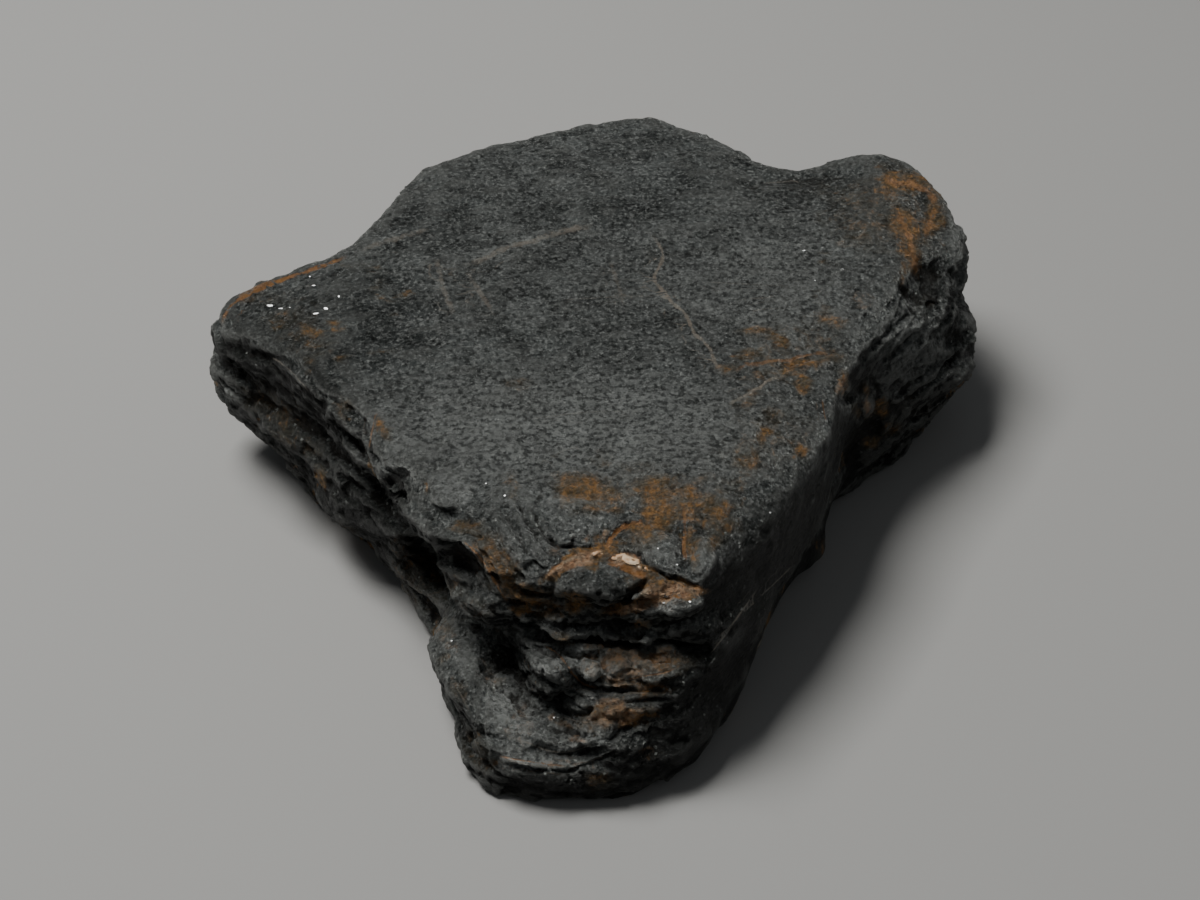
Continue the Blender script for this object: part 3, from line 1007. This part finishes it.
def leaf_grain_group():
    """Long streaks over crumbly grains: a height, and a streak value for colour."""
    group, given, result = new_group(
        "leaf_grain",
        (("Vector", "NodeSocketVector", None), ("Streaks per Metre", "NodeSocketFloat", 500.0),
         ("Grains per Metre", "NodeSocketFloat", 4000.0), ("Length", "NodeSocketFloat", 0.25),
         ("Streak Share", "NodeSocketFloat", 0.5)),
        (("Height", "NodeSocketFloat"), ("Streak", "NodeSocketFloat")),
    )
    turned = node(group, "ShaderNodeMapping", i0=given["Vector"], i2=(0.0, 0.0, math.radians(-7.0)))
    stretch = node(group, "ShaderNodeCombineXYZ", X=given["Length"], Y=1.0, Z=1.0)
    long = vector_math(group, "MULTIPLY", i0=turned.outputs[0], i1=stretch.outputs[0])
    streaks = node(group, "ShaderNodeTexNoise", Vector=long, Scale=given["Streaks per Metre"],
                   Detail=8.0, Roughness=0.72, Distortion=0.15)
    grains = node(group, "ShaderNodeTexNoise", Vector=given["Vector"], Scale=given["Grains per Metre"],
                  Detail=6.0, Roughness=0.75)
    streak = ranged(group, streaks.outputs[0], 0.34, 0.62)
    grain = ranged(group, grains.outputs[0], 0.30, 0.68)
    together = node(group, "ShaderNodeMix", i0=given["Streak Share"], i2=grain, i3=streak)
    group.links.new(together.outputs[0], result["Height"])
    group.links.new(streak, result["Streak"])
    return group


def bloom_group():
    """A soft painted amount broken up into grains and blots."""
    group, given, result = new_group(
        "bloom",
        (("Vector", "NodeSocketVector", None), ("Amount", "NodeSocketFloat", 0.0),
         ("Blots per Metre", "NodeSocketFloat", 900.0), ("Softness", "NodeSocketFloat", 0.2)),
        (("Mask", "NodeSocketFloat"), ("Tone", "NodeSocketFloat")),
    )
    blots = node(group, "ShaderNodeTexNoise", Vector=given["Vector"], Scale=given["Blots per Metre"],
                 Detail=6.0, Roughness=0.66, Distortion=0.8)
    spread = math_node(group, "MULTIPLY_ADD", blots.outputs[0], 1.5, -0.75)
    level = math_node(group, "ADD", given["Amount"], spread)
    low = math_node(group, "SUBTRACT", 0.5, given["Softness"])
    high = math_node(group, "ADD", 0.5, given["Softness"])
    held = ranged(group, level, low, high)
    present = ranged(group, given["Amount"], 0.02, 0.2)
    group.links.new(math_node(group, "MULTIPLY", held, present), result["Mask"])
    tone_scale = math_node(group, "MULTIPLY", given["Blots per Metre"], 0.9)
    tone = node(group, "ShaderNodeTexNoise", Vector=given["Vector"], Scale=tone_scale, Detail=5.0,
                Roughness=0.7, Distortion=0.8)
    group.links.new(ranged(group, tone.outputs[0], 0.3, 0.7), result["Tone"])
    return group


def line_group():
    """A thin line from its painted side distance and strength, uneven along its way."""
    group, given, result = new_group(
        "thin_line",
        (("Vector", "NodeSocketVector", None), ("Side", "NodeSocketFloat", 9.0),
         ("Show", "NodeSocketFloat", 0.0), ("Breaks per Metre", "NodeSocketFloat", 1500.0)),
        (("Mask", "NodeSocketFloat"),),
    )
    uneven = node(group, "ShaderNodeTexNoise", Vector=given["Vector"], Scale=given["Breaks per Metre"],
                  Detail=5.0, Roughness=0.75)
    width = ranged(group, uneven.outputs[0], 0.30, 0.65, 0.25, 1.5)
    distance = math_node(group, "ABSOLUTE", given["Side"])
    across = math_node(group, "DIVIDE", distance, width)
    inside = ranged(group, across, 1.15, 0.45)
    present = ranged(group, uneven.outputs[0], 0.36, 0.52, 0.40, 1.0)
    shown = math_node(group, "MULTIPLY", given["Show"], present)
    group.links.new(math_node(group, "MULTIPLY", inside, shown), result["Mask"])
    return group


def facet_sparkle_group():
    """Tiny cleavage facets: each leans its own way, and a few of them shine."""
    group, given, result = new_group(
        "facet_sparkle",
        (("Vector", "NodeSocketVector", None), ("Normal", "NodeSocketVector", None),
         ("Facets per Metre", "NodeSocketFloat", 6000.0), ("Lean", "NodeSocketFloat", 0.3),
         ("Shining Share", "NodeSocketFloat", 0.1)),
        (("Normal", "NodeSocketVector"), ("Shine", "NodeSocketFloat")),
    )
    facets = node(group, "ShaderNodeTexVoronoi", Vector=given["Vector"], Scale=given["Facets per Metre"])
    centred = vector_math(group, "SUBTRACT", i0=facets.outputs["Color"], i1=(0.5, 0.5, 0.5))
    scaled = vector_math(group, "SCALE", i0=centred, i3=given["Lean"])
    added = vector_math(group, "ADD", i0=given["Normal"], i1=scaled)
    group.links.new(vector_math(group, "NORMALIZE", i0=added), result["Normal"])
    parts = node(group, "ShaderNodeSeparateColor", i0=facets.outputs["Color"])
    shining = math_node(group, "LESS_THAN", parts.outputs[0], given["Shining Share"])
    group.links.new(shining, result["Shine"])
    return group


def placed(tree, group, **values):
    """A group placed in a material with its own values, with _ for a blank in the sockets' names."""
    made = tree.nodes.new("ShaderNodeGroup")
    made.node_tree = group
    for name, value in values.items():
        feed(tree, made.inputs[name.replace("_", " ")], value)
    return made.outputs


def painted(tree, name):
    """The socket of a value that is stored on the skin."""
    made = tree.nodes.new("ShaderNodeAttribute")
    made.attribute_name = name
    return made.outputs["Fac"]


def stone_material(looks, groups):
    """Dark submetallic rock with leaf grain, rust, pale fill, scratches, dust in hollows and sparkles."""
    material = bpy.data.materials.new("dark_tantalite")
    material.use_nodes = True
    tree = material.node_tree
    shader = tree.nodes["Principled BSDF"]
    place = tree.nodes.new("ShaderNodeTexCoord").outputs["Object"]
    hollow_small = painted(tree, "hollow_small")
    hollow_wide = painted(tree, "hollow_wide")
    facet = painted(tree, "facet")
    side = painted(tree, "side")
    grain = placed(tree, groups["leaf_grain"], Vector=place, Streaks_per_Metre=1100.0,
                   Grains_per_Metre=4600.0, Length=0.25, Streak_Share=0.35)
    level = node(tree, "ShaderNodeMapping", i0=place, i3=(0.3, 0.3, 1.0))
    leaves = placed(tree, groups["leaf_grain"], Vector=level.outputs[0], Streaks_per_Metre=2400.0,
                    Grains_per_Metre=5200.0, Length=1.0, Streak_Share=0.5)
    flecks = node(tree, "ShaderNodeTexNoise", Vector=place, Scale=3800.0, Detail=2.0, Roughness=0.7)
    fleck = ranged(tree, flecks.outputs[0], 0.45, 0.68)
    mottle = node(tree, "ShaderNodeTexNoise", Vector=place, Scale=430.0, Detail=6.0, Roughness=0.68)
    broad = node(tree, "ShaderNodeTexNoise", Vector=place, Scale=110.0, Detail=3.0, Roughness=0.55)
    specks = node(tree, "ShaderNodeTexNoise", Vector=place, Scale=2600.0, Detail=3.0, Roughness=0.65)
    mottled = ranged(tree, mottle.outputs[0], 0.43, 0.59)
    body = blend_colour(tree, mottled, looks["stone_dark"], looks["stone_light"])
    dim = math_node(tree, "MULTIPLY", ranged(tree, broad.outputs[0], 0.56, 0.42), 0.55)
    body = blend_colour(tree, dim, body, looks["stone_dark"])
    streaked = math_node(tree, "MULTIPLY", grain["Streak"], 0.40)
    body = blend_colour(tree, streaked, body, looks["stone_streak"])
    body = blend_colour(tree, math_node(tree, "MULTIPLY", fleck, 0.78), body, looks["stone_fleck"])
    pitted = ranged(tree, specks.outputs[0], 0.50, 0.34)
    body = blend_colour(tree, math_node(tree, "MULTIPLY", pitted, 0.70), body, looks["stone_side"])
    shade = painted(tree, "shade")
    steep = math_node(tree, "MULTIPLY_ADD", shade, -0.7, 0.85, clamp=True)
    steep = math_node(tree, "MULTIPLY", side, steep)
    body = blend_colour(tree, steep, body, looks["stone_side"])
    wear = ranged(tree, hollow_small, -0.08, -0.70)
    body = blend_colour(tree, math_node(tree, "MULTIPLY", wear, 0.45), body, looks["stone_worn"])
    paler = math_node(tree, "MULTIPLY", math_node(tree, "MULTIPLY", shade, 0.6, clamp=True),
                      ranged(tree, specks.outputs[0], 0.42, 0.58, 0.22, 1.0))
    body = blend_colour(tree, paler, body, looks["stone_fleck"])
    darker = math_node(tree, "MULTIPLY", shade, -0.9, clamp=True)
    body = blend_colour(tree, darker, body, looks["stone_side"])
    dust = math_node(tree, "MULTIPLY", ranged(tree, hollow_wide, 0.05, 0.7), 0.75)
    body = blend_colour(tree, dust, body, looks["hollow_dust"])
    rust_amount = painted(tree, "rust")
    stain = placed(tree, groups["bloom"], Vector=place, Amount=rust_amount, Blots_per_Metre=700.0,
                   Softness=0.45)
    body = blend_colour(tree, math_node(tree, "MULTIPLY", stain["Mask"], 0.55), body, looks["rust_dark"])
    grains_of_rust = math_node(tree, "MULTIPLY", rust_amount, 0.86)
    rust = placed(tree, groups["bloom"], Vector=place, Amount=grains_of_rust, Blots_per_Metre=1250.0,
                  Softness=0.27)
    rust_colour = blend_colour(tree, rust["Tone"], looks["rust_dark"], looks["rust_bright"])
    speckled = ranged(tree, specks.outputs[0], 0.40, 0.57, 0.28, 0.95)
    rust_share = math_node(tree, "MULTIPLY", rust["Mask"], speckled)
    body = blend_colour(tree, rust_share, body, rust_colour)
    line = placed(tree, groups["thin_line"], Vector=place, Side=painted(tree, "rust_line_side"),
                  Show=painted(tree, "rust_line_show"), Breaks_per_Metre=1200.0)
    line_colour = blend_colour(tree, rust["Tone"], looks["rust_bright"], looks["fill_pink"])
    body = blend_colour(tree, line["Mask"], body, line_colour)
    pale = placed(tree, groups["bloom"], Vector=place, Amount=painted(tree, "pale"), Blots_per_Metre=1900.0,
                  Softness=0.35)
    pale_colour = blend_colour(tree, pale["Tone"], looks["fill_pink"], looks["fill_cream"])
    body = blend_colour(tree, math_node(tree, "MULTIPLY", pale["Mask"], 0.88), body, pale_colour)
    scratch = placed(tree, groups["thin_line"], Vector=place, Side=painted(tree, "scratch_side"),
                     Show=painted(tree, "scratch_show"), Breaks_per_Metre=1600.0)
    scratch_colour = blend_colour(tree, math_node(tree, "MULTIPLY", rust["Tone"], 0.25), looks["scratch"],
                                  looks["fill_pink"])
    body = blend_colour(tree, math_node(tree, "MULTIPLY", scratch["Mask"], 0.92), body, scratch_colour)
    covered = math_node(tree, "MAXIMUM", rust["Mask"], pale["Mask"], clamp=True)
    geometry = tree.nodes.new("ShaderNodeNewGeometry")
    sparkle = placed(tree, groups["facet_sparkle"], Vector=place, Normal=geometry.outputs["Normal"],
                     Facets_per_Metre=6000.0, Lean=0.9, Shining_Share=0.02)
    bare = math_node(tree, "SUBTRACT", 1.0, math_node(tree, "MAXIMUM", covered, math_node(
        tree, "MULTIPLY", side, 0.9)), clamp=True)
    shine = math_node(tree, "MULTIPLY", sparkle["Shine"], bare)
    lustre = math_node(tree, "MULTIPLY", math_node(tree, "ADD", sparkle["Shine"], 0.42, clamp=True), bare)
    body = blend_colour(tree, shine, body, looks["glint"])
    tree.links.new(body, shader.inputs["Base Color"])
    tree.links.new(lustre, shader.inputs["Metallic"])
    rough = ranged(tree, mottle.outputs[0], 0.38, 0.62, 0.27, 0.46)
    rough = math_node(tree, "ADD", rough, math_node(tree, "MULTIPLY", dust, 0.35))
    rough = math_node(tree, "ADD", rough, math_node(tree, "MULTIPLY", side, 0.12))
    rough = math_node(tree, "ADD", rough, math_node(tree, "MULTIPLY", covered, 0.30), clamp=True)
    tree.links.new(rough, shader.inputs["Roughness"])
    height_mix = node(tree, "ShaderNodeMix", i0=side, i2=grain["Height"], i3=leaves["Height"])
    height = math_node(tree, "ADD", height_mix.outputs[0], math_node(tree, "MULTIPLY", rust["Mask"], 0.30))
    height = math_node(tree, "ADD", height, math_node(tree, "MULTIPLY", flecks.outputs[0], 0.6))
    height = math_node(tree, "MULTIPLY", height,
                       math_node(tree, "SUBTRACT", 1.0, math_node(tree, "MULTIPLY", facet, 0.55)))
    height = math_node(tree, "SUBTRACT", height, math_node(tree, "MULTIPLY", line["Mask"], 0.4))
    bump = node(tree, "ShaderNodeBump", Strength=1.0, Distance=0.0004, Height=height,
                Normal=sparkle["Normal"])
    tree.links.new(bump.outputs[0], shader.inputs["Normal"])
    shader.inputs["IOR"].default_value = 1.36
    return material


def plain_material(name, colour, roughness, metallic, tint, speck_scale):
    """A small piece's finish: a colour that varies, with a fine grain."""
    material = bpy.data.materials.new(name)
    material.use_nodes = True
    tree = material.node_tree
    shader = tree.nodes["Principled BSDF"]
    place = tree.nodes.new("ShaderNodeTexCoord").outputs["Object"]
    specks = node(tree, "ShaderNodeTexNoise", Vector=place, Scale=speck_scale, Detail=4.0, Roughness=0.6)
    share = ranged(tree, specks.outputs[0], 0.35, 0.65)
    tree.links.new(blend_colour(tree, share, colour, tint), shader.inputs["Base Color"])
    tree.links.new(ranged(tree, specks.outputs[0], 0.3, 0.7, roughness * 0.8, roughness * 1.25),
                   shader.inputs["Roughness"])
    shader.inputs["Metallic"].default_value = metallic
    bump = node(tree, "ShaderNodeBump", Strength=0.5, Distance=0.00005, Height=specks.outputs[0])
    tree.links.new(bump.outputs[0], shader.inputs["Normal"])
    return material


class StoneSettings(bpy.types.PropertyGroup):
    """The stone's mesh sizes and colours."""

    first_voxel: FloatProperty(
        name="First voxel", description="Grain of the mesh that rounds off the packed model's facets",
        default=0.00025, min=0.0001, unit="LENGTH", subtype="DISTANCE")
    carving_voxel: FloatProperty(
        name="Carving voxel", description="Grain of the mesh that is carved",
        default=0.00013, min=0.0001, unit="LENGTH", subtype="DISTANCE")
    smooth_rounds: IntProperty(
        name="Smoothing rounds", description="How often the packed model's facets are smoothed",
        default=7, min=0)
    rim_rounds: IntProperty(
        name="Rim rounds", description="How often the top face's rim is smoothed", default=130, min=0)
    triangles: IntProperty(
        name="Triangles", description="Triangles of the finished skin", default=194000, min=1000)
    stone_dark: FloatVectorProperty(
        name="Dark stone", description="The darker tone of bare stone", default=(0.036, 0.042, 0.040, 1.0),
        size=4, subtype="COLOR", min=0.0, max=1.0)
    stone_light: FloatVectorProperty(
        name="Light stone", description="The lighter tone of bare stone",
        default=(0.130, 0.145, 0.141, 1.0), size=4, subtype="COLOR", min=0.0, max=1.0)
    stone_streak: FloatVectorProperty(
        name="Streaks", description="Colour of the long streaks on the top",
        default=(0.235, 0.255, 0.245, 1.0), size=4, subtype="COLOR", min=0.0, max=1.0)
    stone_fleck: FloatVectorProperty(
        name="Flecks", description="Colour of the small pale flecks", default=(0.46, 0.48, 0.46, 1.0),
        size=4, subtype="COLOR", min=0.0, max=1.0)
    stone_worn: FloatVectorProperty(
        name="Worn edges", description="Colour of rubbed edges and high spots",
        default=(0.24, 0.25, 0.235, 1.0), size=4, subtype="COLOR", min=0.0, max=1.0)
    stone_side: FloatVectorProperty(
        name="Steep stone", description="Colour of the unworn stone on the sides",
        default=(0.0065, 0.0072, 0.0060, 1.0), size=4, subtype="COLOR", min=0.0, max=1.0)
    glint: FloatVectorProperty(
        name="Glints", description="Colour of the shining cleavage facets", default=(0.34, 0.36, 0.34, 1.0),
        size=4, subtype="COLOR", min=0.0, max=1.0)
    hollow_dust: FloatVectorProperty(
        name="Hollows", description="Colour of the dust that darkens hollows",
        default=(0.012, 0.009, 0.006, 1.0), size=4, subtype="COLOR", min=0.0, max=1.0)
    rust_dark: FloatVectorProperty(
        name="Dark rust", description="The darker tone of rust", default=(0.125, 0.092, 0.042, 1.0),
        size=4, subtype="COLOR", min=0.0, max=1.0)
    rust_bright: FloatVectorProperty(
        name="Bright rust", description="The brighter tone of rust", default=(0.50, 0.255, 0.085, 1.0),
        size=4, subtype="COLOR", min=0.0, max=1.0)
    fill_pink: FloatVectorProperty(
        name="Pink fill", description="The pinker tone of pale fill", default=(0.52, 0.28, 0.15, 1.0),
        size=4, subtype="COLOR", min=0.0, max=1.0)
    fill_cream: FloatVectorProperty(
        name="Cream fill", description="The paler tone of pale fill", default=(0.52, 0.42, 0.30, 1.0),
        size=4, subtype="COLOR", min=0.0, max=1.0)
    scratch: FloatVectorProperty(
        name="Scratches", description="Colour of thin pale scratches", default=(0.42, 0.41, 0.36, 1.0),
        size=4, subtype="COLOR", min=0.0, max=1.0)


class StageSettings(bpy.types.PropertyGroup):
    """The floor, the lights and the camera."""

    floor_side: FloatProperty(
        name="Floor side", description="Length of the floor's side", default=3.0, unit="LENGTH",
        subtype="DISTANCE")
    floor_colour: FloatVectorProperty(
        name="Floor", description="Colour of the floor", default=(0.31, 0.31, 0.303, 1.0), size=4,
        subtype="COLOR", min=0.0, max=1.0)
    key_power: FloatProperty(
        name="Key light", description="Power of the soft light above the stone, to the left", default=1.50,
        unit="POWER")
    fill_power: FloatProperty(
        name="Front light", description="Power of the soft light in front, to the right", default=0.03,
        unit="POWER")
    air: FloatProperty(
        name="Air", description="Strength of the light from all round", default=0.11, min=0.0)


def settings_dict(settings):
    """A settings group's colours as plain tuples."""
    return {name: tuple(getattr(settings, name)) for name in COLOURS}


def skin_place(look, across, down):
    """Where the skin is seen at a place in the camera's frame, and its normal there."""
    right = (across - FRAME_WIDE / 2) / FOCAL_STEPS
    up = (FRAME_HIGH / 2 - down) / FOCAL_STEPS
    ray = (Vector((right, 0.0, 0.0)) + CAMERA_UP * up - CAMERA_BACK).normalized()
    place, normal, _, _ = look.ray_cast(CAMERA_PLACE, ray)
    if place is None:
        raise RuntimeError(f"the skin isn't seen at {across}, {down}")
    return place, normal


def copy_placed(pattern, name, axes, sizes, place):
    """A copy of a pattern piece with its own mesh, stretched, turned and moved, its place in its mesh."""
    copy = bpy.data.objects.new(name, pattern.data.copy())
    bpy.context.scene.collection.objects.link(copy)
    copy.data.transform(Matrix.Translation(place) @ axes.to_4x4() @ Matrix.Diagonal((*sizes, 1.0)))
    return copy


def join(pieces, name):
    """Several pieces made one."""
    bpy.ops.object.select_all(action="DESELECT")
    for piece in pieces:
        piece.select_set(True)
    bpy.context.view_layer.objects.active = pieces[0]
    bpy.ops.object.join()
    whole = bpy.context.view_layer.objects.active
    whole.name = name
    return whole


def carry(piece):
    """Let a piece ride on the stone's body and take its finish from the record's slot."""
    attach(piece, BODY)


class CRYSTAL_OT_stage(bpy.types.Operator):
    """Lay the pale floor, hang the soft lights and set the camera"""

    bl_idname = "crystal.stage"
    bl_label = "Stage"

    def execute(self, context):
        stage = context.scene.crystal_stage
        bpy.ops.object.select_all(action="DESELECT")
        bpy.ops.mesh.primitive_plane_add(size=stage.floor_side, location=(0.0, 0.0, 0.0))
        floor = context.active_object
        floor.name = "floor"
        material = bpy.data.materials.new("pale_floor")
        material.use_nodes = True
        shader = material.node_tree.nodes["Principled BSDF"]
        shader.inputs["Base Color"].default_value = tuple(stage.floor_colour)
        shader.inputs["Roughness"].default_value = 0.85
        floor.data.materials.append(material)
        self.hang("key_light", KEY_PLACE, 0.14, stage.key_power, (1.0, 0.985, 0.96))
        self.hang("fill_light", (0.20, -0.22, 0.30), 0.26, stage.fill_power, (0.96, 0.98, 1.0))
        world = bpy.data.worlds.new("air")
        world.use_nodes = True
        world.node_tree.nodes["Background"].inputs[0].default_value = (0.94, 0.97, 1.0, 1.0)
        world.node_tree.nodes["Background"].inputs[1].default_value = stage.air
        context.scene.world = world
        bpy.ops.object.camera_add(location=CAMERA_PLACE)
        camera = context.active_object
        camera.name = "camera"
        camera.rotation_euler = (-CAMERA_BACK).to_track_quat("-Z", "Y").to_euler()
        camera.data.lens = LENS
        camera.data.sensor_width = SENSOR
        camera.data.clip_start = 0.001
        camera.data.dof.use_dof = False
        context.scene.camera = camera
        return {"FINISHED"}

    def hang(self, name, place, side, power, colour):
        bpy.ops.object.light_add(type="AREA", location=place)
        light = bpy.context.active_object
        light.name = name
        light.data.size = side
        light.data.energy = power
        light.data.color = colour
        away = Vector(place) - Vector((0.0, 0.0, 0.006))
        light.rotation_euler = away.to_track_quat("Z", "Y").to_euler()


class CRYSTAL_OT_skin(bpy.types.Operator):
    """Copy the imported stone, make it dense, carve it, thin it and paint it"""

    bl_idname = "crystal.skin"
    bl_label = "Stone skin"

    def execute(self, context):
        stone = context.scene.crystal_stone
        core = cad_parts[CORE]
        skin = bpy.data.objects.new("stone_skin", core.data.copy())
        context.scene.collection.objects.link(skin)
        skin.data.materials.clear()
        select_only(skin)
        bpy.ops.object.mode_set(mode="EDIT")
        bpy.ops.mesh.select_all(action="SELECT")
        bpy.ops.mesh.remove_doubles(threshold=0.000001)
        bpy.ops.object.mode_set(mode="OBJECT")
        apply_modifier(skin, "REMESH", mode="VOXEL", voxel_size=stone.first_voxel)
        apply_modifier(skin, "SMOOTH", factor=0.5, iterations=stone.smooth_rounds)
        round_rim(skin, stone.rim_rounds)
        shape_forms(skin)
        apply_modifier(skin, "REMESH", mode="VOXEL", voxel_size=stone.carving_voxel)
        carve_leaves(skin)
        apply_modifier(skin, "REMESH", mode="VOXEL", voxel_size=stone.carving_voxel)
        carve_features(skin)
        carve_top(skin)
        keep_in_box(skin)
        thin(skin, stone.triangles)
        keep_in_box(skin)
        paint(skin)
        select_only(skin)
        bpy.ops.object.shade_smooth()
        groups = {"leaf_grain": leaf_grain_group(), "bloom": bloom_group(), "thin_line": line_group(),
                  "facet_sparkle": facet_sparkle_group()}
        skin.data.materials.append(stone_material(settings_dict(stone), groups))
        carry(skin)
        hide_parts(CORE)
        return {"FINISHED"}


class CRYSTAL_OT_flakes(bpy.types.Operator):
    """Set thin mica flakes in the skin, each leaning so that it catches the light"""

    bl_idname = "crystal.flakes"
    bl_label = "Mica flakes"

    def execute(self, context):
        pattern = self.one_flake()
        look = BVHTree.FromObject(bpy.data.objects["stone_skin"], context.evaluated_depsgraph_get())
        copies = []
        for number, (across, down, long, wide, turn) in enumerate(FLAKES):
            place, normal = skin_place(look, across, down)
            to_camera = (CAMERA_PLACE - place).normalized()
            to_light = (Vector(KEY_PLACE) - place).normalized()
            lean = (to_camera + to_light).normalized()
            lean = (lean + 0.5 * normal).normalized()
            side = (Vector((1.0, 0.0, 0.0)) - lean * lean.x).normalized()
            axes = Matrix((side, lean.cross(side), lean)).transposed()
            axes = axes @ Matrix.Rotation(math.radians(turn), 3, "Z")
            stretch = 1.0 / max(0.35, abs(lean.dot(to_camera)))
            sizes = (long / STEPS_PER_MM * MM, wide / STEPS_PER_MM * MM * stretch, 0.04 * MM)
            flake = copy_placed(pattern, f"flake_{number}", axes, sizes, place + normal * 0.02 * MM)
            copies.append(flake)
        bpy.data.objects.remove(pattern)
        flakes = join(copies, "mica_flakes")
        flakes.data.materials.clear()
        flakes.data.materials.append(plain_material(
            "silver_mica", (0.60, 0.61, 0.60, 1.0), 0.38, 0.85, (0.42, 0.44, 0.44, 1.0), 9000.0))
        carry(flakes)
        return {"FINISHED"}

    def one_flake(self):
        """A nine-sided plate of unit half size with a broken rim and a bevel."""
        bpy.ops.object.select_all(action="DESELECT")
        bpy.ops.mesh.primitive_cylinder_add(vertices=9, radius=1.0, depth=2.0, location=(0.0, 0.0, 0.0))
        flake = bpy.context.active_object
        draw = np.random.default_rng(41)
        reach = draw.uniform(0.72, 1.08, 9)
        for vertex in flake.data.vertices:
            corner = round((math.atan2(vertex.co.y, vertex.co.x) / (2.0 * math.pi)) * 9) % 9
            vertex.co.xy *= reach[corner]
        apply_modifier(flake, "BEVEL", width=0.14, segments=1)
        return flake


class CRYSTAL_OT_grains(bpy.types.Operator):
    """Wedge pale grains into the rusty strips of the nose"""

    bl_idname = "crystal.grains"
    bl_label = "Pale grains"

    def execute(self, context):
        bpy.ops.object.select_all(action="DESELECT")
        bpy.ops.mesh.primitive_ico_sphere_add(subdivisions=3, radius=1.0, location=(0.0, 0.0, 0.0))
        pattern = context.active_object
        look = BVHTree.FromObject(bpy.data.objects["stone_skin"], context.evaluated_depsgraph_get())
        copies = []
        for number, (across, down, long, wide, turn) in enumerate(GRAINS):
            place, normal = skin_place(look, across, down)
            side = (Vector((1.0, 0.0, 0.0)) - normal * normal.x).normalized()
            axes = Matrix((side, normal.cross(side), normal)).transposed()
            axes = axes @ Matrix.Rotation(math.radians(turn), 3, "Z")
            sizes = (long / STEPS_PER_MM * MM, wide / STEPS_PER_MM * MM, 0.24 * wide / STEPS_PER_MM * MM)
            grain = copy_placed(pattern, f"grain_{number}", axes, sizes, place - normal * 0.04 * MM)
            copies.append(grain)
        bpy.data.objects.remove(pattern)
        grains = join(copies, "pale_grains")
        places = places_of(grains)
        normals = normals_of(grains)
        places += normals * (0.20 * Cloud(51).layered(places / 0.30, 3))[:, None]
        set_places(grains, places)
        grains.data.materials.clear()
        grains.data.materials.append(plain_material(
            "pale_feldspar", (0.40, 0.22, 0.10, 1.0), 0.5, 0.0, (0.62, 0.50, 0.35, 1.0), 1700.0))
        select_only(grains)
        bpy.ops.object.shade_smooth()
        carry(grains)
        return {"FINISHED"}


class CRYSTAL_PT_sidebar(bpy.types.Panel):
    """The stone's pieces and its stage"""

    bl_idname = "CRYSTAL_PT_sidebar"
    bl_label = "Tantalite crystal"
    bl_space_type = "VIEW_3D"
    bl_region_type = "UI"
    bl_category = "Crystal"

    def draw(self, context):
        layout = self.layout
        for group in (context.scene.crystal_stone, context.scene.crystal_stage):
            for name in group.bl_rna.properties.keys():
                if name not in ("rna_type", "name"):
                    layout.prop(group, name)
        for operator in OPERATORS:
            layout.operator(operator.bl_idname)


OPERATORS = (CRYSTAL_OT_stage, CRYSTAL_OT_skin, CRYSTAL_OT_flakes, CRYSTAL_OT_grains)
CLASSES = (StoneSettings, StageSettings) + OPERATORS + (CRYSTAL_PT_sidebar,)


def register():
    for cls in CLASSES:
        bpy.utils.register_class(cls)
    bpy.types.Scene.crystal_stone = PointerProperty(type=StoneSettings)
    bpy.types.Scene.crystal_stage = PointerProperty(type=StageSettings)


def unregister():
    del bpy.types.Scene.crystal_stage
    del bpy.types.Scene.crystal_stone
    for cls in reversed(CLASSES):
        bpy.utils.unregister_class(cls)


def main():
    register()
    bpy.ops.crystal.stage()
    bpy.ops.crystal.skin()
    bpy.ops.crystal.flakes()
    bpy.ops.crystal.grains()


if __name__ == "__main__":
    main()
